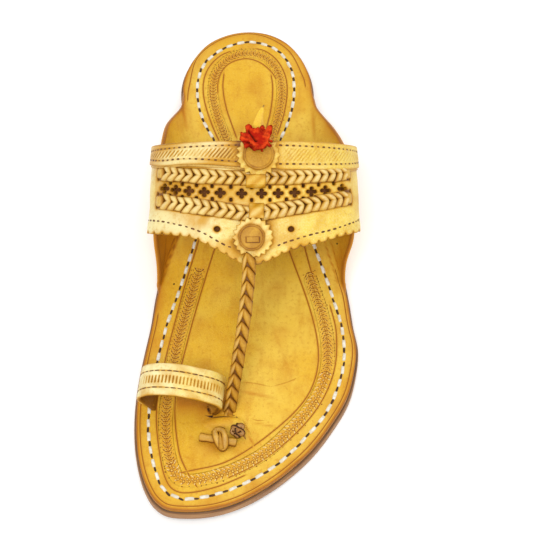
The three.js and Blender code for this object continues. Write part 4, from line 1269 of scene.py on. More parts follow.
# Hand-stamped borders between the lines: middle line of each border as x, s
HEEL_BORDER = [
    (-10.0, 73), (-14.6, 62), (-18.0, 50), (-19.0, 39), (-17.4, 29), (-12.6, 20.8), (-5.4, 16.4),
    (2.4, 15.6), (9.6, 18.4), (15.2, 25), (18.0, 34), (18.2, 45), (16.4, 57), (12.4, 70),
]
FORE_BORDER = [
    (-25.8, 146), (-30.6, 164), (-35.8, 186), (-39.8, 210), (-41.4, 232), (-39.2, 250), (-34.4, 261.4),
    (-26.0, 262.6), (-10.6, 258.4), (6.0, 249.6), (20.4, 236.4), (33.4, 220.0), (39.8, 204), (40.9, 190),
    (38.6, 172), (33.6, 154), (31.6, 147),
]
HEEL_BED = {"half": 3.0, "pitch": 2.0}
FORE_BED = {"half": 3.7, "pitch": 2.3}
BED_SECTION = [
    (-1.0, 0.0, 0.0), (-0.8, 0.05, 0.08), (-0.4, 0.06, 0.24), (0.0, 0.06, 0.3), (0.4, 0.06, 0.24),
    (0.8, 0.05, 0.08), (1.0, 0.0, 0.0),
]

# Strikes of the hand stamps: x along, y outwards, turn, half length, half width, height, tone; a tone above 0
# is a dark stamped dent and the painted shade beside a raised strike, below 0 a painted highlight
FEATHER = [
    (0.0, 0.0, 0.0, 0.7, 0.31, 0.14, 0.98), (0.2, 0.95, 0.8, 0.78, 0.3, 0.14, 0.98),
    (0.2, -0.95, -0.8, 0.78, 0.3, 0.14, 0.98), (1.2, 1.9, 0.7, 0.74, 0.3, 0.14, 0.95),
    (1.2, -1.9, -0.7, 0.74, 0.3, 0.14, 0.95), (0.2, 2.8, 0.9, 0.55, 0.2, 0.12, 0.7),
    (0.2, -2.8, -0.9, 0.55, 0.2, 0.12, 0.7), (1.25, 0.45, 1.2, 0.4, 0.28, 0.14, 0.95),
    (1.25, -0.45, -1.2, 0.4, 0.28, 0.14, 0.95), (0.75, 1.15, 0.8, 0.5, 0.2, 0.32, -0.15),
    (0.75, -1.15, -0.8, 0.5, 0.2, 0.32, -0.15), (1.7, 1.75, 0.7, 0.4, 0.18, 0.3, -0.15),
    (1.7, -1.75, -0.7, 0.4, 0.18, 0.3, -0.15), (1.0, 0.0, 0.0, 0.3, 0.26, 0.3, -0.1),
    (0.0, 3.75, 0.0, 0.32, 0.32, 0.1, 1.0),
]
ROUNDEL = [
    (0.0, 0.7, 0.0, 1.0, 1.0, 0.12, 0.85), (0.0, 0.7, 0.0, 0.56, 0.56, 0.26, -0.1),
    (1.35, -0.7, 0.0, 0.86, 0.86, 0.12, 0.8), (1.35, -0.7, 0.0, 0.48, 0.48, 0.24, -0.2),
    (0.2, 2.1, 0.9, 0.75, 0.27, 0.1, 0.9), (0.7, 2.25, 0.9, 0.62, 0.26, 0.34, -0.5),
    (1.5, 1.3, 0.5, 0.5, 0.22, 0.1, 0.85), (0.1, -2.0, -0.9, 0.75, 0.27, 0.1, 0.9),
    (0.6, -2.2, -0.9, 0.62, 0.26, 0.34, -0.5), (1.3, -2.9, -0.4, 0.5, 0.26, 0.34, -0.5),
    (1.7, -2.8, -0.4, 0.5, 0.22, 0.1, 0.85), (0.2, -3.4, -0.6, 0.45, 0.22, 0.1, 0.8),
    (0.0, 3.75, 0.0, 0.4, 0.4, 0.1, 1.0),
]


def stamp_unit(strikes, scale):
    """One strike of a hand stamp."""
    marks = []
    for x, y, turn, half_length, half_width, height, tone in strikes:
        points, faces, tones = pillow(half_length, half_width, height, count=8, squareness=0.9, tone=tone)
        cos, sin = math.cos(turn), math.sin(turn)
        marks.append(([((x + px * cos - py * sin) * scale, (y + px * sin + py * cos) * scale, pz)
                       for px, py, pz in points], faces, tones))
    return unit_mesh(*joined(marks))


def make_borders():
    """Beds of the stamped borders and the strikes on them: feathers at the sides, roundels round the toe."""
    insole_lines("heel_border_bed", [HEEL_BORDER], HEEL_BED["half"], BED_SECTION)
    insole_lines("fore_border_bed", [FORE_BORDER], FORE_BED["half"], BED_SECTION)
    fore = smooth_path(FORE_BORDER[::-1])
    left = (fore[:, 0] < -20) & (fore[:, 1] < 254)
    right = (fore[:, 0] > 0) & (fore[:, 1] < 204)
    runs = [
        ("heel_border", smooth_path(HEEL_BORDER), FEATHER, 0.8, HEEL_BED["pitch"], 11),
        ("fore_border_left", fore[left], FEATHER, 0.95, FORE_BED["pitch"], 12),
        ("fore_border_right", fore[right], FEATHER, 0.95, FORE_BED["pitch"], 13),
        ("fore_border_toe", fore[~left & ~right], ROUNDEL, 0.95, FORE_BED["pitch"] + 0.4, 14),
    ]
    for name, path, strikes, scale, pitch, seed in runs:
        unit = stamp_unit(strikes, scale)
        repeated(name, guide([path], insole_top), unit, INSOLE_LEATHER, pitch, jitter=(0.12, 0.22), seed=seed)


# Instep band, cut flat as across and station
BAND_FRONT = table("across station", [
    (-76, 122.5), (-32, 123.8), (-19, 130.0), (-7, 137.4), (0, 138.6), (5, 137.4), (17, 131.2), (30, 127.2),
    (48, 122.4), (76, 120.0),
])
BAND_HALF = 76.0
STATION_STRETCH = 1.12
SCALLOPS = 34
SCALLOP_DEPTH = 1.45
QUATREFOILS = [-43.9, -37.9, -31.5, -24.0, -16.4, -6.0, 3.7, 11.7, 19.7, 27.8, 34.7, 43.3]
QUATREFOIL_SIZE = 2.65
PAIR_OFFSET = 3.4
EYE_HOLE = {"station": 120.0, "across": 17.9, "radius": 1.5}
BRAIDS = [
    {"name": "rear", "reach": 46.8, "half_width": 3.5},
    {"name": "front", "reach": 46.8, "half_width": 3.7},
]
STRIP_FRONT = table("across station", [
    (-76, 84.2), (-47, 86.6), (-32, 85.6), (-12, 86.8), (2, 88.0), (14, 88.4), (47, 88.2), (76, 85.6),
])
band_front = curve_through(BAND_FRONT["across"], BAND_FRONT["station"])
strip_edge = curve_through(STRIP_FRONT["across"], STRIP_FRONT["station"])


def band_rear(across):
    return 73.6 + 0.00085 * across**2


def strip_rear(across):
    return band_rear(across) - 0.8


def quatrefoil_line(across):
    return 101.3 - 0.0013 * across**2


def braid_line(name, across):
    across = np.asarray(across, float)
    if name == "rear":
        return 93 - 0.00115 * across**2
    return 112.3 - np.where(across < 0, 0.148, 0.185) * np.abs(across)


def scalloped_edge():
    """Front edge of the band: round scallops with a sharp notch between each two."""
    pitch = 2 * BAND_HALF / SCALLOPS
    points = []
    for k in range(SCALLOPS):
        for t in np.linspace(0, 1, 7)[:-1]:
            across = -BAND_HALF + pitch * (k + t)
            bulge = math.sqrt(max(1 - (2 * t - 1) ** 2, 0))
            points.append((across, band_front(across) + SCALLOP_DEPTH * (bulge - 0.5)))
    points.append((BAND_HALF, band_front(BAND_HALF) - SCALLOP_DEPTH / 2))
    return points


def quatrefoil(across, station, size):
    """Four round lobes with a narrow notch between each two."""
    angle = around(32)
    radius = size * (0.4 + 0.6 * np.abs(np.cos(2 * angle)) ** 0.75)
    return np.stack([across + radius * np.cos(angle), station + radius * np.sin(angle)], axis=1)


def ellipse(across, station, half_across, half_along, count=12, squareness=1.0):
    angle = around(count) + math.pi / count
    return np.stack([across + half_across * squared(np.cos(angle), squareness),
                     station + half_along * squared(np.sin(angle), squareness)], axis=1)


def band_holes():
    """Quatrefoils with a pair of small holes between each two, eye holes and the braids' end slots."""
    holes = []
    for i, across in enumerate(QUATREFOILS):
        holes.append(quatrefoil(across, quatrefoil_line(across), QUATREFOIL_SIZE))
        if i + 1 < len(QUATREFOILS):
            middle = (across + QUATREFOILS[i + 1]) / 2
            for offset in (-PAIR_OFFSET, PAIR_OFFSET):
                holes.append(ellipse(middle, quatrefoil_line(middle) + offset, 0.72, 0.95, 10, 0.6))
    radius = EYE_HOLE["radius"]
    for side in (-1, 1):
        holes.append(ellipse(side * EYE_HOLE["across"], EYE_HOLE["station"], radius, radius, 18))
        for braid in BRAIDS:
            across = side * (braid["reach"] + 1.2)
            station = float(braid_line(braid["name"], across))
            holes.append(ellipse(across, station, 0.55, braid["half_width"] + 0.7, 14, 0.7))
    return holes


# Stitch lines of the band as across, station
FRONT_STITCH = [
    [(-70, 116.5), (-52.3, 116), (-45.3, 116.3), (-39.7, 117.3), (-32.5, 119), (-24.6, 122.1), (-16, 127.4),
     (-11.8, 129.5)],
    [(12, 128.6), (14.5, 127.4), (26.8, 123.2), (37.2, 120.7), (50, 116.7), (70, 113)],
]


def path_distance(u, v, path):
    """Distance of each point from a line."""
    tree = kdtree.KDTree(len(path))
    for i, (x, y) in enumerate(path):
        tree.insert((x, y, 0), i)
    tree.balance()
    return np.array([tree.find((x, y, 0))[2] for x, y in zip(u, v)])


def band_relief(u, v, _distance=None):
    stitched = np.full_like(u, 9.0)
    for line in FRONT_STITCH:
        stitched = np.minimum(stitched, path_distance(u, v, smooth_path(line, 0.5)))
    swell = 0.3 * np.sin(u / 6.4 + 1.0) * np.sin(v / 5.2) + 0.16 * np.sin(u / 2.6 + v / 3.4)
    pull = 0.45 * bell(np.hypot(u - 0.5, (v - 124.3) / 1.1) - 10.5, 3.5)
    dip = np.zeros_like(u)
    for braid in BRAIDS:
        away = np.abs(v - braid_line(braid["name"], u))
        dip += 0.5 * bell(away, braid["half_width"] + 1.6) * (np.abs(u) < braid["reach"] + 1)
    return swell - 0.35 * bell(stitched, 1.3) - dip - pull


def band_tone(u, v, distance):
    """Dark by the edges; painted shade beside the braids, under the strip's edge, round the front disc and a
    little on the left side; darker in clouds; pale painted highlights in patches.
    """
    tone = 0.6 * np.exp(-distance / 0.5) + 0.1 * np.exp(-distance / 2.2)
    for braid in BRAIDS:
        # painted shade where each braid lies on the band
        beside = np.abs(v - braid_line(braid["name"], u)) - braid["half_width"]
        slot_edge = np.hypot(np.maximum(np.abs(u) - braid["reach"], 0), np.maximum(beside, 0))
        tone += 0.75 * np.exp(-(slot_edge / 0.65) ** 2) + 0.05 * np.exp(-slot_edge / 2.4)
    between = smooth(-1, 1, v - braid_line("rear", u)) * smooth(-1, 1, braid_line("front", u) - v)
    tone += (0.1 - 0.04 * np.sign(u)) * between * (np.abs(u) < 50)
    # painted shade under the front edge of the strip
    under = np.exp(-np.abs(v - strip_edge(u)) / 1.1)
    # painted shade round the front disc, then stains in clouds
    off_disc = from_middle(ROSETTES["front"], u, v) - ROSETTES["front"]["radius"]
    darkening = 0.55 * np.exp(-np.maximum(off_disc, 0) / 2.0)
    darkening += 0.26 * smooth(-0.1, 0.9, np.sin(u / 5.1 + 0.7) * np.sin(v / 4.3))
    darkening += (0.14 * smooth(-0.2, 0.9, np.sin(u / 2.3 + v / 3.1))
              * smooth(-0.5, 0.8, np.sin(v / 2.7 - u / 7.7)))
    # a little darker on the left side: painted shade on the side turned from the light
    left = 0.05 * smooth(0, 40, -u)
    # pale patches: painted highlights
    painted_highlight = 0.6 * smooth(0.0, 1.0, np.sin(u / 8.3 - 0.4) * np.cos(v / 5.7 + 1.2)) * (distance > 1)
    darkening *= 1 - 0.7 * between
    return np.clip(tone + 0.5 * under + darkening + left, 0, 0.95) - painted_highlight * (tone < 0.25)


def wall_panel(name, outline, base, thickness, material=BAND_LEATHER, holes=(), **finish):
    """A panel over the foot space, whose underside lies at the height of the base."""
    cut_panel(name, np.array(outline), holes, raised(base), thickness, material, slot="band_leather",
              **finish)


def dark_edge(depth):
    """A tone that falls off quickly from a panel's edge."""
    return lambda u, v, distance: depth * np.exp(-distance / 0.5)


def across_band(line, reach, count, shift=0.0):
    """Points of a line across the band, from one side to the other."""
    return [(across, line(across) + shift) for across in np.linspace(-reach, reach, count)]


def make_band():
    rear = across_band(band_rear, BAND_HALF, 60)[::-1]
    wall_panel("instep_band", scalloped_edge() + rear, BAND_IN, BAND_WALL, holes=band_holes(), spacing=0.95,
               rounding=0.4, relief=band_relief, tone=band_tone, edge_tone=0.25, replaces=["upper"])


def make_shade_lining():
    """Dark brown lining that shows through the punched holes: it stands for the painted shade inside them."""
    front, rear = across_band(band_front, 50, 60, -4.0), across_band(band_rear, 50, 60, 2.5)
    wall_panel("band_lining", front + rear[::-1], BAND_IN - 0.75, 0.7, SHADE_LINING_LEATHER, spacing=2.0,
               rounding=0.3, flesh_tone=0.1)


def dashes(name, paths, at, size, pitch, jitter, seed):
    """Dark stitches along the lines of the band, the strip or the ring; size is length, width and depth."""
    length, width, depth = size
    unit = unit_mesh(*pillow(length / 2, width / 2, depth, squareness=0.8))
    repeated(name, guide(paths, at), unit, BROWN_THREAD, pitch, jitter, seed)


def on_band(u, v):
    return on_wall(u, v, BAND_OUT + band_relief(u, v) + 0.02)


def on_strip(u, v):
    return on_wall(u, v, STRIP_OUT + strip_relief(u, v) + 0.02)


def make_band_stitches():
    paths = [smooth_path(line) for line in FRONT_STITCH]
    dashes("band_stitches", paths, on_band, size=(2.0, 1.0, 0.16), pitch=3.4, jitter=(0.2, 0.12), seed=21)


# Rear strip: two stitch rows with slanted cuts between them
HATCH_PITCH = 1.9
HATCH_SLANT = 0.75


def strip_row(k, across):
    """Rear row 0 keeps to the rear edge, row 1 to the front edge."""
    if k == 0:
        return strip_rear(across) + 2.4 + 0.0002 * across**2
    return strip_edge(across) - 2.9


def off_cut(along, pitch):
    """Distance from the nearest of evenly spaced cuts."""
    phase = along / pitch
    return np.abs(phase - np.round(phase)) * pitch


def strip_marks(u, v):
    """Distances from the strip's rows and cuts, how far the cuts reach, and the part clear of the disc."""
    first, second = strip_row(0, u), strip_row(1, u)
    rows = np.minimum(np.abs(v - first), np.abs(v - second))
    inside_rows = smooth(1.1, 1.9, v - first) * smooth(1.1, 1.9, second - v)
    clear = smooth(10, 14, np.abs(u - ROSETTES["rear"]["across"]))
    return rows, off_cut(u + (v - 81) * HATCH_SLANT, HATCH_PITCH), inside_rows, clear


def strip_relief(u, v, _distance=None):
    rows, cut, inside_rows, clear = strip_marks(u, v)
    swell = 0.15 * np.sin(u / 9 + 0.5)
    return swell - 0.22 * bell(rows, 1.0) - 0.34 * bell(cut, 0.75) * inside_rows * clear


def strip_tone(u, v, distance):
    rows, cut, inside_rows, clear = strip_marks(u, v)
    side = np.where(u < 0, 0.75, 0.42) * (0.75 + 0.25 * np.sin(u / 3.1 + 1))
    # darker on the left half and along the stitch rows
    darkening = np.where(u < 0, 0.42, 0.1) * (1 + np.sin(u / 6.1 + v / 5)) / 2 + 0.2 * bell(rows, 1.2)
    # painted shade round the rear disc
    disc = 0.4 * np.exp(-np.maximum(np.abs(u - ROSETTES["rear"]["across"]) - 9.5, 0) / 2.0)
    # the term below 0 pales the ridges between the cuts on the left: a painted highlight
    return (side * bell(cut, 0.6) * inside_rows * clear + 0.5 * np.exp(-distance / 0.5)
            + darkening + disc - 0.25 * bell(cut - 0.95, 0.5) * inside_rows * (u < 0))


def make_strip():
    rear = across_band(strip_rear, BAND_HALF, 80)[::-1]
    wall_panel("rear_band_strip", across_band(strip_edge, BAND_HALF, 80) + rear, STRIP_IN, STRIP_WALL,
               spacing=0.55, rounding=0.35, relief=strip_relief, tone=strip_tone, edge_tone=0.3,
               replaces=["rear_strip"])
    wall_panel("rear_strip_backing", across_band(strip_edge, BAND_HALF, 80, 1.3) + rear, BAND_OUT + 0.05,
               GAP + 0.35, PLAIT_LEATHER, spacing=1.2, rounding=0.25, tone=dark_edge(0.35), edge_tone=0.5)
    across = np.linspace(-72, 72, 190)
    paths = [np.stack([part, strip_row(k, part)], axis=1)
             for k in (0, 1) for part in (across[across < -8.5], across[across > 12.5])]
    dashes("strip_stitches", paths, on_strip, size=(1.5, 0.95, 0.16), pitch=3.3, jitter=(0.25, 0.12), seed=23)


# Plaits: chevrons of two strands each, laid over one another
def plait_unit(pitch, half_width, height, slant, meeting, highlight, shade=0.0, trailing=0.0):
    """One chevron: two plump strands that run from the plait's edges to its middle, their tips ahead."""
    rows, columns = 10, 9
    count = rows * columns
    grid = np.arange(count).reshape(rows, columns)
    ring = [*grid[0], *grid[1:, -1], *grid[-1, -2::-1], *grid[-2:0:-1, 0]]
    faces = []
    for a in grid[:-1, :-1].ravel():
        faces.append((a, a + 1, a + columns + 1, a + columns))
        faces.append((count + a, count + a + columns, count + a + columns + 1, count + a + 1))
    faces += [(a, b, count + b, count + a) for a, b in zip(ring, ring[1:] + ring[:1])]
    parts = []
    for side in (-1, 1):
        top, bottom, tones = [], [], []
        for a in np.arange(rows) / (rows - 1):
            y = side * half_width * (1.03 - 1.13 * a) + meeting * half_width * a
            plump = math.sin(math.pi * (0.03 + 0.85 * a)) ** 0.55
            for b in 2 * np.arange(columns) / (columns - 1) - 1:
                crown = math.sqrt(max(1 - b * b, 0))
                x = slant * (a - 0.5) + b * (pitch * (0.6 - 0.22 * a**3))
                top.append((x, y, height * plump * (0.08 + 0.92 * crown) * (0.84 + 0.16 * b)))
                bottom.append((x, y, -0.5))
                # painted shade on each strand's flanks, thin ends, tips and trailing half, more on one side
                # by shade; a painted highlight on the crown
                pressed_and_shade = 0.8 * (1 - smooth(0.3, 0.8, crown)) + 2.2 * max(a - 0.86, 0)
                pressed_and_shade += 0.5 * (1 - plump) ** 2 + shade * (side < 0) + trailing * max(-b, 0)
                tones.append(min(pressed_and_shade, 1) - highlight * max(crown - 0.8, 0) / 0.2 * plump)
        # the undersides are dark: painted shade in the gaps between strands
        parts.append((top + bottom, faces, tones + [0.9] * count))
    return unit_mesh(*joined(parts))


BRAID_RISE = 2.1
BRAID_PITCH = 4.2


def make_band_braids():
    for k, braid in enumerate(BRAIDS):
        name, reach, half = braid["name"], braid["reach"], braid["half_width"]
        across = np.linspace(-reach + 4.4, reach - 2.6, 180)
        path = np.stack([across, braid_line(name, across)], axis=1)
        unit = plait_unit(BRAID_PITCH, half, BRAID_RISE, slant=3.1, meeting=0.12, highlight=0.34,
                          trailing=0.42)
        repeated(f"{name}_braid", guide([path], raised(BAND_OUT)), unit, PLAIT_LEATHER, BRAID_PITCH,
                 jitter=(0.09, 0.1), seed=31 + k, replaces=["upper"])
        for side, end in ((-1, "left"), (1, "right")):
            middle = side * (reach - 0.9)
            pad = ellipse(middle, float(braid_line(name, middle)), 2.0, half * 0.86, 22, 0.6)
            wall_panel(f"{name}_braid_{end}_end", pad, BAND_OUT - 0.4, 2.0, PLAIT_LEATHER, spacing=0.6,
                       rounding=1.1, tone=dark_edge(0.5), edge_tone=0.6, replaces=["upper"])


# Toe strap: a plait along a curve from under the front rosette to its slot
STRAP_CONTROLS = [(0.4, 167, 62.4), (0.6, 186, 55), (-6.2, 213, 33), (-9.6, 225.6, 8.6)]
STRAP_WIDTH = 6.8
STRAP_TAPER = 0.2
STRAP_PITCH = 6.4
STRAP_RISE = 2.6


def strap_route():
    t = np.linspace(0, 1, 400)[:, None]
    p = np.array(STRAP_CONTROLS, float)
    line = (1 - t) ** 3 * p[0] + 3 * t * (1 - t) ** 2 * p[1] + 3 * t**2 * (1 - t) * p[2] + t**3 * p[3]
    return resampled(place(*line.T), 0.8)


def strap_frames(route):
    """Directions across a route and off its upper side."""
    along = direction(np.gradient(route, axis=0))
    side = direction(np.array([1.0, 0, 0]) - along * along[:, :1])
    up = np.cross(side, along)
    up[up[:, 2] < 0] *= -1
    return side, up


def make_toe_strap():
    route = strap_route()
    side, up = strap_frames(route)
    half = STRAP_WIDTH / 2 * (1 - STRAP_TAPER * np.linspace(0, 1, len(route)))
    angle = around(14)
    rings = [section_at(route[i], side[i], up[i], np.cos(angle) * half[i] * 0.86, np.sin(angle) * 1.3 - 0.1)
             for i in range(len(route))]
    # the core is dark: painted shade in the gaps between the strands
    loft("toe_strap_core", rings, STRAP_LEATHER, [np.full(14, 0.72)] * len(rings), slot="band_leather",
         replaces=["upper"])
    line = marked_points((route + up * 0.4)[::-1], [(i, i + 1) for i in range(len(route) - 1)], up=up[::-1])
    unit = plait_unit(STRAP_PITCH, 3.1, STRAP_RISE + 0.5, slant=5.2, meeting=0.3, highlight=0.15, shade=0.22)
    repeated("toe_strap_braid", line, unit, STRAP_LEATHER, STRAP_PITCH, jitter=(0.04, 0.04), seed=41,
             replaces=["upper"])


# Discs on the band: toothed rosettes and domed buttons
TEETH = 20
FRONT_LEAN = 0.104
FRONT_REST = 135.5
ROSETTES = {
    "rear": {"station": 80.7, "across": 1.9, "radius": 9.8},
    "front": {"station": 124.3, "across": -0.5, "radius": 9.3},
}
BUTTONS = {
    "rear": {"across": 2.1, "station": 80.4, "radius": 7.3},
    "front": {"across": -1.2, "station": 124.2, "radius": 6.3},
}
BUTTON_RISE = 2.0


def disc_lift(name, station):
    if name == "rear":
        return STRIP_OUT + GAP
    return BAND_OUT + GAP + FRONT_LEAN * (FRONT_REST - station)


def toothed_circle(disc):
    points = []
    for k in range(TEETH * 2):
        radius = disc["radius"] + (0.75 if k % 2 == 0 else -0.6) + 0.25 * math.sin(2.3 * k)
        angle = math.pi * k / TEETH
        points.append((disc["across"] + radius * math.cos(angle),
                       disc["station"] + STATION_STRETCH * radius * math.sin(angle)))
    return np.array(points)


def from_middle(disc, u, v):
    """Distance from the middle of a disc, which lies stretched in the band's flat cut."""
    return np.hypot(u - disc["across"], (v - disc["station"]) / STATION_STRETCH)


def rosette_tone(name, u, v, distance):
    ring = from_middle(BUTTONS[name], u, v) - BUTTONS[name]["radius"]
    # dark ring on the toothed disc round the button's rim: painted shade
    return 0.7 * np.exp(-np.abs(ring) / 0.6) + 0.6 * np.exp(-distance / 0.4) + 0.15 * np.sin(u * 1.1 + v)


def dome(name, u, v, _distance):
    r = from_middle(BUTTONS[name], u, v) / BUTTONS[name]["radius"]
    shape = 0.8 * np.sqrt(np.clip(1 - r**2, 0, 1)) - 0.25 * bell(r - 0.86, 0.07)
    return shape - 0.4 * staple_field(u, v) if name == "front" else shape


def dome_tone(name, u, v, _distance):
    r = from_middle(BUTTONS[name], u, v) / BUTTONS[name]["radius"]
    tone = 0.5 * bell(r - 0.86, 0.08) + 0.12 * np.sin(u / 1.4 + v / 2.2)
    if name == "front":
        return tone + 0.12 + 0.7 * staple_field(u, v)
    # the rear button paler towards its middle: a painted highlight
    return tone - 0.26 * np.clip(1 - r**2, 0, 1)


def make_discs():
    for name, disc in ROSETTES.items():
        wall_panel(f"{name}_toothed_disc", toothed_circle(disc), partial(disc_lift, name), DISC_WALL,
                   spacing=0.6, rounding=0.3, tone=partial(rosette_tone, name), edge_tone=0.4,
                   replaces=[f"rosette_{name}"])
        across, station, radius = BUTTONS[name].values()
        circle = ellipse(across, station, radius, radius * STATION_STRETCH, 48)
        wall_panel(f"{name}_domed_button", circle, lambda v, name=name: disc_lift(name, v) + DISC_WALL + GAP,
                   BUTTON_RISE - 0.75, STRAP_LEATHER, spacing=0.45, rounding=0.6, relief=partial(dome, name),
                   tone=partial(dome_tone, name), edge_tone=0.5, replaces=[f"button_{name}"])


def staple_field(u, v):
    """Pressed outline of the plain staple on the front button."""
    button = BUTTONS["front"]
    inner = np.maximum(np.abs(u - button["across"] - 0.6) / 3.2, np.abs(v - button["station"] - 1.2) / 1.5)
    return bell(inner - 1, 0.16)


# Short straps over the braids on the centre line
TABS = {
    "rear": {"first": 91.0, "last": 98.4, "centre": 93.0, "x0": -3.9, "x1": 5.6},
    "front": {"first": 106.2, "last": 114.2, "centre": 111.9, "x0": -2.5, "x1": 4.8},
}
TAB_WALL = 1.2


def tab_tone(u, v, distance):
    return 0.34 + 0.14 * np.sin(u * 0.9 + v) + 0.35 * np.exp(-distance / 0.6)


def tab_lift(centre, station):
    """The tab rises over its braid."""
    return BAND_OUT + GAP + 2.2 * (1 - smooth(3, 5.6, np.abs(station - centre)))


def make_tabs():
    for name, tab in TABS.items():
        x0, x1, first, last = tab["x0"], tab["x1"], tab["first"], tab["last"]
        wall_panel(f"{name}_centre_tab", [(x0, first), (x1, first), (x1, last), (x0, last)],
                   partial(tab_lift, tab["centre"]), TAB_WALL, spacing=0.6, rounding=0.4, tone=tab_tone,
                   edge_tone=0.6, replaces=[f"centre_tab_{name}"])


# Toe ring: a strap arch with two stitched lines and a ladder of cuts
RING_ROUTE = table("x s z", [
    (-45.6, 216.6, 8.8), (-47.6, 216.0, 13.6), (-51.8, 215.0, 17), (-53.5, 214.9, 22.5),
    (-50.6, 215.8, 28.6), (-44.5, 216.8, 32.4), (-35.0, 218.0, 33.6), (-25.5, 219.3, 32.2),
    (-17.2, 219.7, 27.8), (-13.1, 219.2, 20.6), (-14.0, 219.0, 14.8), (-17.2, 218.8, 8.8),
])
RING_TURN = 0.13
RING_WIDTH = 17.0
RING_WALL = 2.0
RING_LINES = (-4.4, 4.6)
RING_CUT_PITCH = 1.75
RING_STEP = 0.4


def ring_route():
    return place(*smooth_path(np.stack([RING_ROUTE[name] for name in "xsz"], axis=1), RING_STEP).T)


RING_POINTS = ring_route()
RING_LENGTH = RING_STEP * (len(RING_POINTS) - 1)


def on_ring(u, v, lift):
    """Points of the ring: u along its arch, v along the foot."""
    u, v, lift = np.broadcast_arrays(*(np.asarray(w, float) for w in (u, v, lift)))
    at = np.clip(u / RING_LENGTH, 0, 1) * (len(RING_POINTS) - 1)
    steps = np.arange(len(RING_POINTS))
    spot = np.stack([np.interp(at, steps, RING_POINTS[:, k]) for k in range(3)], axis=-1)
    along = np.stack([np.interp(at, steps, np.gradient(RING_POINTS[:, k])) for k in range(3)], axis=-1)
    out = direction(np.cross(along, np.array([0, 1.0, 0])))
    out = np.where((out * (spot - np.array([-33, 0, 18.0]))).sum(axis=-1)[..., None] < 0, -out, out)
    aside = np.stack([-RING_TURN * v, -v, np.zeros_like(v)], axis=-1)
    return spot + out * lift[..., None] + aside


def ring_marks(u, v):
    """Distance from the ring's stitch lines and from its cuts, and how far the cuts reach."""
    lines = np.minimum(np.abs(v - RING_LINES[0]), np.abs(v - RING_LINES[1]))
    between = smooth(0.9, 1.6, v - RING_LINES[0] - 1.2) * smooth(0.9, 1.6, RING_LINES[1] - 1.2 - v)
    reach = 0.35 * smooth(15, 19, u) * (1 - smooth(63, 69, u))
    reach += 0.65 * smooth(20, 28, u) * (1 - smooth(54, 64, u))
    return lines, off_cut(u, RING_CUT_PITCH), between * reach


def ring_relief(u, v, _distance=None):
    lines, bar, cuts = ring_marks(u, v)
    return -0.2 * bell(lines, 0.9) - 0.45 * bell(bar, 0.5) * cuts


def ring_tone(u, v, distance):
    lines, bar, cuts = ring_marks(u, v)
    # both ends dark where the ring goes down into the insole: brown leather with painted shade
    tails = 0.8 * (1 - smooth(6, 12, u)) + 0.7 * smooth(RING_LENGTH - 14, RING_LENGTH - 8, u)
    darkening = 0.05 + 0.1 * np.sin(u / 4.3 + v / 3.0) + 0.1 * np.sin(u / 1.9 - v / 1.3)
    dark = 0.9 * bell(bar, 0.62) * cuts + 0.5 * bell(lines, 0.6) + tails + darkening
    return np.clip(dark + 0.35 * np.exp(-distance / 0.5), 0, 0.9)


def make_toe_ring():
    half = RING_WIDTH / 2
    corners = np.array([(0, -half), (RING_LENGTH, -half), (RING_LENGTH, half), (0, half)])
    # the flesh side, inside the arch, is brown and darkened further with painted shade
    cut_panel("toe_ring_strap", corners, [], lambda u, v, lift: on_ring(u, v, lift - RING_WALL / 2),
              RING_WALL, BAND_LEATHER, spacing=0.5, rounding=0.5, relief=ring_relief, tone=ring_tone,
              edge_tone=0.3, flesh_tone=0.92, slot="band_leather", replaces=["toe_ring"])
    along = np.arange(12, RING_LENGTH - 10, 1.0)
    paths = [np.stack([along, np.full_like(along, row)], axis=1) for row in RING_LINES]
    dashes("ring_stitches", paths, lambda u, v: on_ring(u, v, RING_WALL / 2 + ring_relief(u, v) + 0.02),
           size=(2.4, 0.62, 0.1), pitch=3.1, jitter=(0.25, 0.1), seed=51)


# Knots in front of the bridge
KNOT_LOOP = {"x": -14.3, "middle": 241.6, "reach": 4.7, "spread": 1.75}
KNOT_TOP = table("s z", [(236.0, 1.6), (238.3, 4.7), (241.4, 5.7), (244.0, 4.4), (246.4, 1.8)])
PEG_ENDS = ((-24.2, 239.9), (-5.8, 243.0))
PEG_SIZE = {"width": 4.0, "height": 3.2}
THONG = {"x": -5.2, "s": 237.4, "rise": 3.9, "radius": 2.6}
THONG_TAIL = [(-3.6, 237.0, 3.0), (-2.2, 239.0, 2.2), (-1.2, 240.9, 1.2)]
THONG_TURNS = [(0.5, 0.5, 1.05), (1.3, 1.7, 0.9), (-1.0, 2.7, 0.95), (1.1, -0.6, 0.9), (-0.7, 0.2, 0.7)]


def on_insole_line(points, spacing):
    """Smooth route from points given as x, s and height over the insole."""
    x, s, rise = smooth_path(points, spacing).T
    return place(x, s, sole_top(s) + rise)


def thin_strip(name, route, half_width, half_height, material, taper=0.7, **dress):
    """An open thong end that narrows along its route."""
    side, up = strap_frames(route)
    angle = around(12)
    rings = [
        section_at(route[i], side[i], up[i], np.cos(angle) * half_width * (1 - taper * share),
                   np.sin(angle) * half_height * (1 - 0.5 * taper * share))
        for i, share in enumerate(np.linspace(0, 1, len(route)))
    ]
    # painted shade on the strip's sides
    loft(name, rings, material, [0.15 + 0.5 * np.abs(np.cos(angle)) ** 4] * len(rings), **dress)


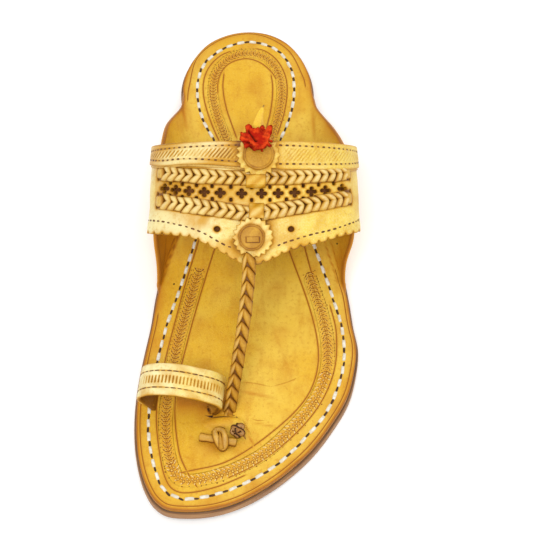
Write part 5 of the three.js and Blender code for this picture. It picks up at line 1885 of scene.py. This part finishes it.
def ring_tube(name, route, up, half_width, half_height, material, tone, **dress):
    """A closed thong: a rounded section carried round a closed route."""
    along = direction(np.roll(route, -1, axis=0) - np.roll(route, 1, axis=0))
    side = direction(np.cross(along, up))
    above = np.cross(side, along)
    angle = around(12)
    x, y = squared(np.cos(angle), 0.7), squared(np.sin(angle), 0.7)
    rings = [section_at(route[i], side[i], above[i], x * half_width[i], y * half_height[i])
             for i in range(len(route))]
    new_piece(name, np.concatenate(rings), tube_faces(len(rings), len(angle), closed=True), material,
              np.tile(tone(angle), len(rings)), **dress)


def strand_tone(angle, base, side, top):
    """Tone round a strand: painted shade on its sides, a painted highlight on its crest."""
    return base + side * np.abs(np.cos(angle)) ** 4 - top * np.maximum(np.sin(angle), 0) ** 3


def make_knots():
    """Knot loop of the toe strap, the peg through it and the tongue over it."""
    turn = around(72)
    wave, sway = np.cos(turn), np.sin(turn)
    s = KNOT_LOOP["middle"] - KNOT_LOOP["reach"] * wave
    waist = squared(sway, 0.8) * (1.1 + 0.32 * wave)
    x = KNOT_LOOP["x"] + (s - 240) * 0.26 + KNOT_LOOP["spread"] * (waist + 0.25 * smooth(0, 1, sway))
    route = place(x, s, sole_top(s) + curve_through(KNOT_TOP["s"], KNOT_TOP["z"])(s) + 0.7 * sway)
    ring_tube("knot_loop_thong", route, np.array([0, 0.12, 1.0]), 1.7 + 0.2 * np.sin(3 * turn + 1),
              1.2 + 0.12 * np.cos(4 * turn), STRAP_LEATHER,
              lambda f: strand_tone(f, base=0.1, side=0.75, top=0.24), slot="insole_leather",
              replaces=["knot_loop"])
    a, b = (place(x, s, sole_top(s) + GAP + PEG_SIZE["height"] / 2) for x, s in PEG_ENDS)
    along = direction(b - a)
    aside, above = direction(np.array([-along[1], along[0], 0])), np.array([0, 0, 1.0])
    angle = around(24)
    half_x = squared(np.cos(angle), 0.6) * PEG_SIZE["width"] / 2
    half_z = squared(np.sin(angle), 0.6) * PEG_SIZE["height"] / 2
    fold = 1 + 0.14 * np.cos(2 * angle + 1.2)
    rings, tones = [], []
    for u in np.concatenate([[0, 0.004, 0.012], np.linspace(0.05, 0.95, 24), [0.988, 0.996, 1.0]]):
        end = min(u, 1 - u)
        size = 1.08 - 0.12 * math.sin(math.pi * u) + 0.05 * math.sin(u * 23)
        size *= 0.82 + 0.18 * min(end / 0.012, 1)
        rings.append(section_at(a + (b - a) * u, aside, above, half_x * size * fold, half_z * size))
        tones.append(strand_tone(angle, base=0.14, side=0.7, top=0.22) + 0.2 * (end < 0.004))
    loft("knot_peg_strap", rings, STRAP_LEATHER, tones, slot="insole_leather", replaces=["knot_peg"])
    share = np.linspace(0, 1, 30)
    tongue = place(KNOT_LOOP["x"] + 1.1 - 1.0 * share, 246.6 - 8.8 * share,
                   sole_top(242) + 2.4 + 3.8 * np.sin(math.pi * (0.08 + 0.8 * share)))
    thin_strip("knot_tongue", tongue, 1.55, 0.9, STRAP_LEATHER, taper=0.85, slot="insole_leather",
               replaces=["knot_loop"])


def make_thong_knot():
    """Crumpled turns of a brown thong and its short tail."""
    dress = {"slot": "thong_leather", "replaces": ["thong_knot"]}
    centre = place(THONG["x"], THONG["s"], sole_top(THONG["s"]) + THONG["rise"])
    turn = around(44)
    for k, (tilt, spin, size) in enumerate(THONG_TURNS):
        radius = THONG["radius"] * size * (1 + 0.26 * np.sin(3 * turn + 2 * k))
        x, y, z = radius * np.cos(turn), radius * 0.8 * np.sin(turn), 0.5 * np.sin(2 * turn + k)
        y, z = y * math.cos(tilt) - z * math.sin(tilt), y * math.sin(tilt) + z * math.cos(tilt)
        x, y = x * math.cos(spin) - y * math.sin(spin), x * math.sin(spin) + y * math.cos(spin)
        up = np.array([math.sin(tilt) * math.sin(spin), -math.sin(tilt) * math.cos(spin), math.cos(tilt)])
        # painted shade on the sides of each turn, a painted highlight on its crest
        ring_tube(f"thong_turn_{k}", centre + np.stack([x, y, z], axis=1), up,
                  0.95 + 0.4 * np.sin(2 * turn + k), 0.6 + 0.15 * np.cos(5 * turn), THONG_LEATHER,
                  lambda f: 0.85 * np.abs(np.cos(f)) ** 3 - 0.15 * np.maximum(np.sin(f), 0) ** 4, **dress)
    thin_strip("thong_tail", on_insole_line(THONG_TAIL, 0.3), 0.8, 0.5, THONG_LEATHER, **dress)


# Rolled ends of the toe ring, where they come out of their slots: x, s, height of the middle
RING_TAILS = {
    "right": {"line": [(-13.8, 222.8, 2.3), (-16.8, 224.6, 3.2), (-19.6, 226.2, 4.2)], "radius": 2.7},
    "left": {"line": [(-50.8, 219.6, 1.6), (-49.6, 221.6, 1.8), (-48.0, 223.4, 1.5)], "radius": 1.8},
}


def make_ring_tails():
    """Tails of the toe ring, rolled up on themselves."""
    steps, wall = 40, 0.8
    turns = np.linspace(0, 2 * math.pi * 1.7, steps)
    for end, tail in RING_TAILS.items():
        route = on_insole_line(tail["line"], 0.35)
        along = direction(np.gradient(route, axis=0))
        aside = direction(np.cross(along, np.array([0, 0, 1.0])))
        above = np.cross(aside, along)
        rings = []
        for i in range(len(route)):
            radius = tail["radius"] * (1 - 0.5 * turns / turns[-1]) * (1 + 0.06 * np.sin(3 * turns + i * 0.2))
            both = np.concatenate([radius, (radius - wall)[::-1]])
            angle = np.concatenate([turns, turns[::-1]])
            rings.append(section_at(route[i], aside[i], above[i], both * np.cos(angle), both * np.sin(angle)))
        # outer face of each roll mid brown, inner face dark: flesh side with painted shade inside the roll
        tones = np.tile(np.repeat([0.3, 0.95], steps), len(rings))
        loft_open_ends(f"ring_{end}_tail", rings, STRAP_LEATHER, tones)


def loft_open_ends(name, rings, material, tones):
    """A rolled strip: its spiral section carried along, its two ends closed by strips across the wall."""
    count = len(rings[0])
    faces = tube_faces(len(rings), count)
    last = (len(rings) - 1) * count
    for i in range(count // 2 - 1):
        j = count - 1 - i
        faces.append((i + 1, i, j, j - 1))
        faces.append((last + i, last + i + 1, last + j - 1, last + j))
    new_piece(name, np.concatenate(rings), faces, material, tones, "band_leather")


# Red wool tuft with its leather tail: the torn outline of a rag of wool, folded in four layers
POMPOM = {"station": 71.0, "across": 0.7}
POMPOM_LIFT = STRIP_OUT + GAP + DISC_WALL + 4.6
WOOL_SHIFT = (0.2, -2.2, 1.2)
WOOL_OUTLINE = [
    (-5.4, 6.7), (-4.0, 7.5), (-2.4, 7.1), (-1.9, 5.8), (1.2, 5.8), (4.4, 4.2), (6.4, 6.2), (8.3, 6.2),
    (8.0, 2.2), (6.85, -0.9), (6.4, -3.3), (8.0, -5.8), (7.1, -6.5), (5.6, -4.9), (4.0, -6.5),
    (1.6, -7.6), (-0.4, -6.8), (-1.2, -4.5), (-4.8, -2.3), (-8.4, -1.9), (-8.1, 0.6), (-7.6, 2.9),
    (-5.0, 3.1), (-5.4, 4.9),
]
WOOL_LAYERS = [(0.94, 0.0, 0.0), (0.82, 0.5, -1.9), (0.66, -0.4, -3.6), (0.46, 0.9, -5.0)]
WOOL_FOLDS = [
    {"from": (-3.7, 3.4), "to": (0.2, -2.0), "width": 0.8, "depth": 3.0, "tone": 1.0},
    {"from": (2.0, 3.8), "to": (5.6, 0.4), "width": 1.2, "depth": 1.0, "tone": 0.3},
    {"from": (-7.0, 0.6), "to": (-3.0, -0.6), "width": 0.9, "depth": 0.8, "tone": 0.3},
    {"from": (1.4, -3.0), "to": (3.0, -6.2), "width": 0.9, "depth": 0.9, "tone": 0.3},
    {"from": (5.2, 2.4), "to": (7.4, 5.4), "width": 0.8, "depth": 0.8, "tone": 0.25},
]


def fold_depth(u, v, key):
    """Listed folds of the wool: how deep, or how dark, at each point."""
    return sum(fold[key] * bell(from_mark(fold, u, v)[1], fold["width"]) for fold in WOOL_FOLDS)


def wool_relief(u, v, _distance):
    return 0.2 * np.sin(u * 3.1 + v) * np.sin(v * 3.7) - np.minimum(fold_depth(u, v, "depth") * 0.45, 1.2)


def wool_tone(u, v, _distance):
    return fold_depth(u, v, "tone") + 0.1 * np.sin(v * 3 + u)


def make_pompom():
    """Layers of torn red wool with painted shade in a fold, and loose hairs on them."""
    rng = np.random.default_rng(7)
    centre = on_wall(POMPOM["across"], POMPOM["station"], POMPOM_LIFT) + np.array(WOOL_SHIFT)
    spots, ups, alongs = [], [], []
    for k, (size, turn, drop) in enumerate(WOOL_LAYERS):
        outline = smooth_loop(WOOL_OUTLINE, 110)
        outline = (outline + rng.normal(0, 0.12, outline.shape)) * size
        cos, sin = math.cos(turn), math.sin(turn)

        def over(u, v, lift, k=k, cos=cos, sin=sin, drop=drop):
            ruffle = 0.35 * np.sin(u * 1.3 + 2 * k) + 0.3 * np.sin(v * 1.5 + k)
            height = 0.03 * (u * u + v * v) + ruffle + drop + lift
            return centre + np.stack([u * cos - v * sin, u * sin + v * cos, height], axis=-1)

        cut_panel(f"wool_layer_{k}", outline, [], over, 1.7, RED_WOOL, spacing=0.5, rounding=0.8,
                  relief=wool_relief, tone=wool_tone, edge_tone=0.0, slot="red_wool", replaces=["pompom"])
        for _ in range(60):
            x, y = outline[rng.integers(len(outline))] * rng.uniform(0.55, 0.97)
            spots.append(over(x, y, 1.2))
            ups.append(direction(np.array([x * cos - y * sin, x * sin + y * cos, rng.uniform(2, 9)])))
            alongs.append(rng.normal(0, 1, 3))
    scatter_hairs(marked_points(spots, [], up=ups, along=alongs))


def scatter_hairs(places):
    """Loose hairs of wool at the given places."""
    steps, sides, length = 5, 3, 1.3
    hair, tones = [], []
    for t in np.arange(steps) / (steps - 1):
        radius = 0.13 * (1 - 0.6 * t)
        for f in around(sides):
            x, y = 0.7 * t * t + radius * math.cos(f), 0.25 * math.sin(4 * t) + radius * math.sin(f)
            hair.append((x, y, length * t))
            tones.append(0.15 * (1 - t))
    faces = tube_faces(steps, sides) + [(2, 1, 0), tuple(range(len(hair) - sides, len(hair)))]
    repeated("wool_hairs", places, unit_mesh(hair, faces, tones), RED_WOOL, jitter=(0.3, 3.1), seed=61,
             tree=SCATTER_TREE, replaces=["pompom"])


SPIKE = {"width": 7.4, "taper": 7.0, "wall": 1.1}


def make_spike():
    """Pointed leather tail in front of the wool, cupped at its root."""
    root = on_wall(POMPOM["across"], POMPOM["station"], POMPOM_LIFT) + np.array([1.2, 3.4, -1.4])
    bend, tip = root + np.array([0.2, 6.5, 6.2]), root + np.array([3.0, 12.4, 6.0])
    share = np.linspace(0, 1, 24)
    route = np.array([(1 - t) ** 2 * root + 2 * t * (1 - t) * bend + t * t * tip for t in share])
    side, up = strap_frames(route)
    angle = around(20)
    cos, sin = np.cos(angle), np.sin(angle)
    rings, tones = [], []
    for i, t in enumerate(share):
        half = (SPIKE["width"] - SPIKE["taper"] * t**0.9) / 2
        thick = SPIKE["wall"] / 2 * (1 - 0.5 * t)
        cup = 0.8 * (1 - t) * (cos * cos)
        rings.append(section_at(route[i], side[i], up[i], cos * half, sin * thick + cup - 0.4 * (1 - t)))
        tones.append(0.8 * smooth(0.8, 0.95, t) + 0.5 * smooth(0.35, 0.6, cos) * (1 - t))
    loft("spike_tail", rings, SPIKE_LEATHER, tones, slot="insole_leather", replaces=["leather_spike"])


make_sole()
make_insole()
make_insole_lines()
make_insole_stitches()
make_borders()
make_pin_holes()
make_band()
make_shade_lining()
make_band_stitches()
make_strip()
make_band_braids()
make_toe_strap()
make_discs()
make_tabs()
make_toe_ring()
make_knots()
make_thong_knot()
make_ring_tails()
make_pompom()
make_spike()
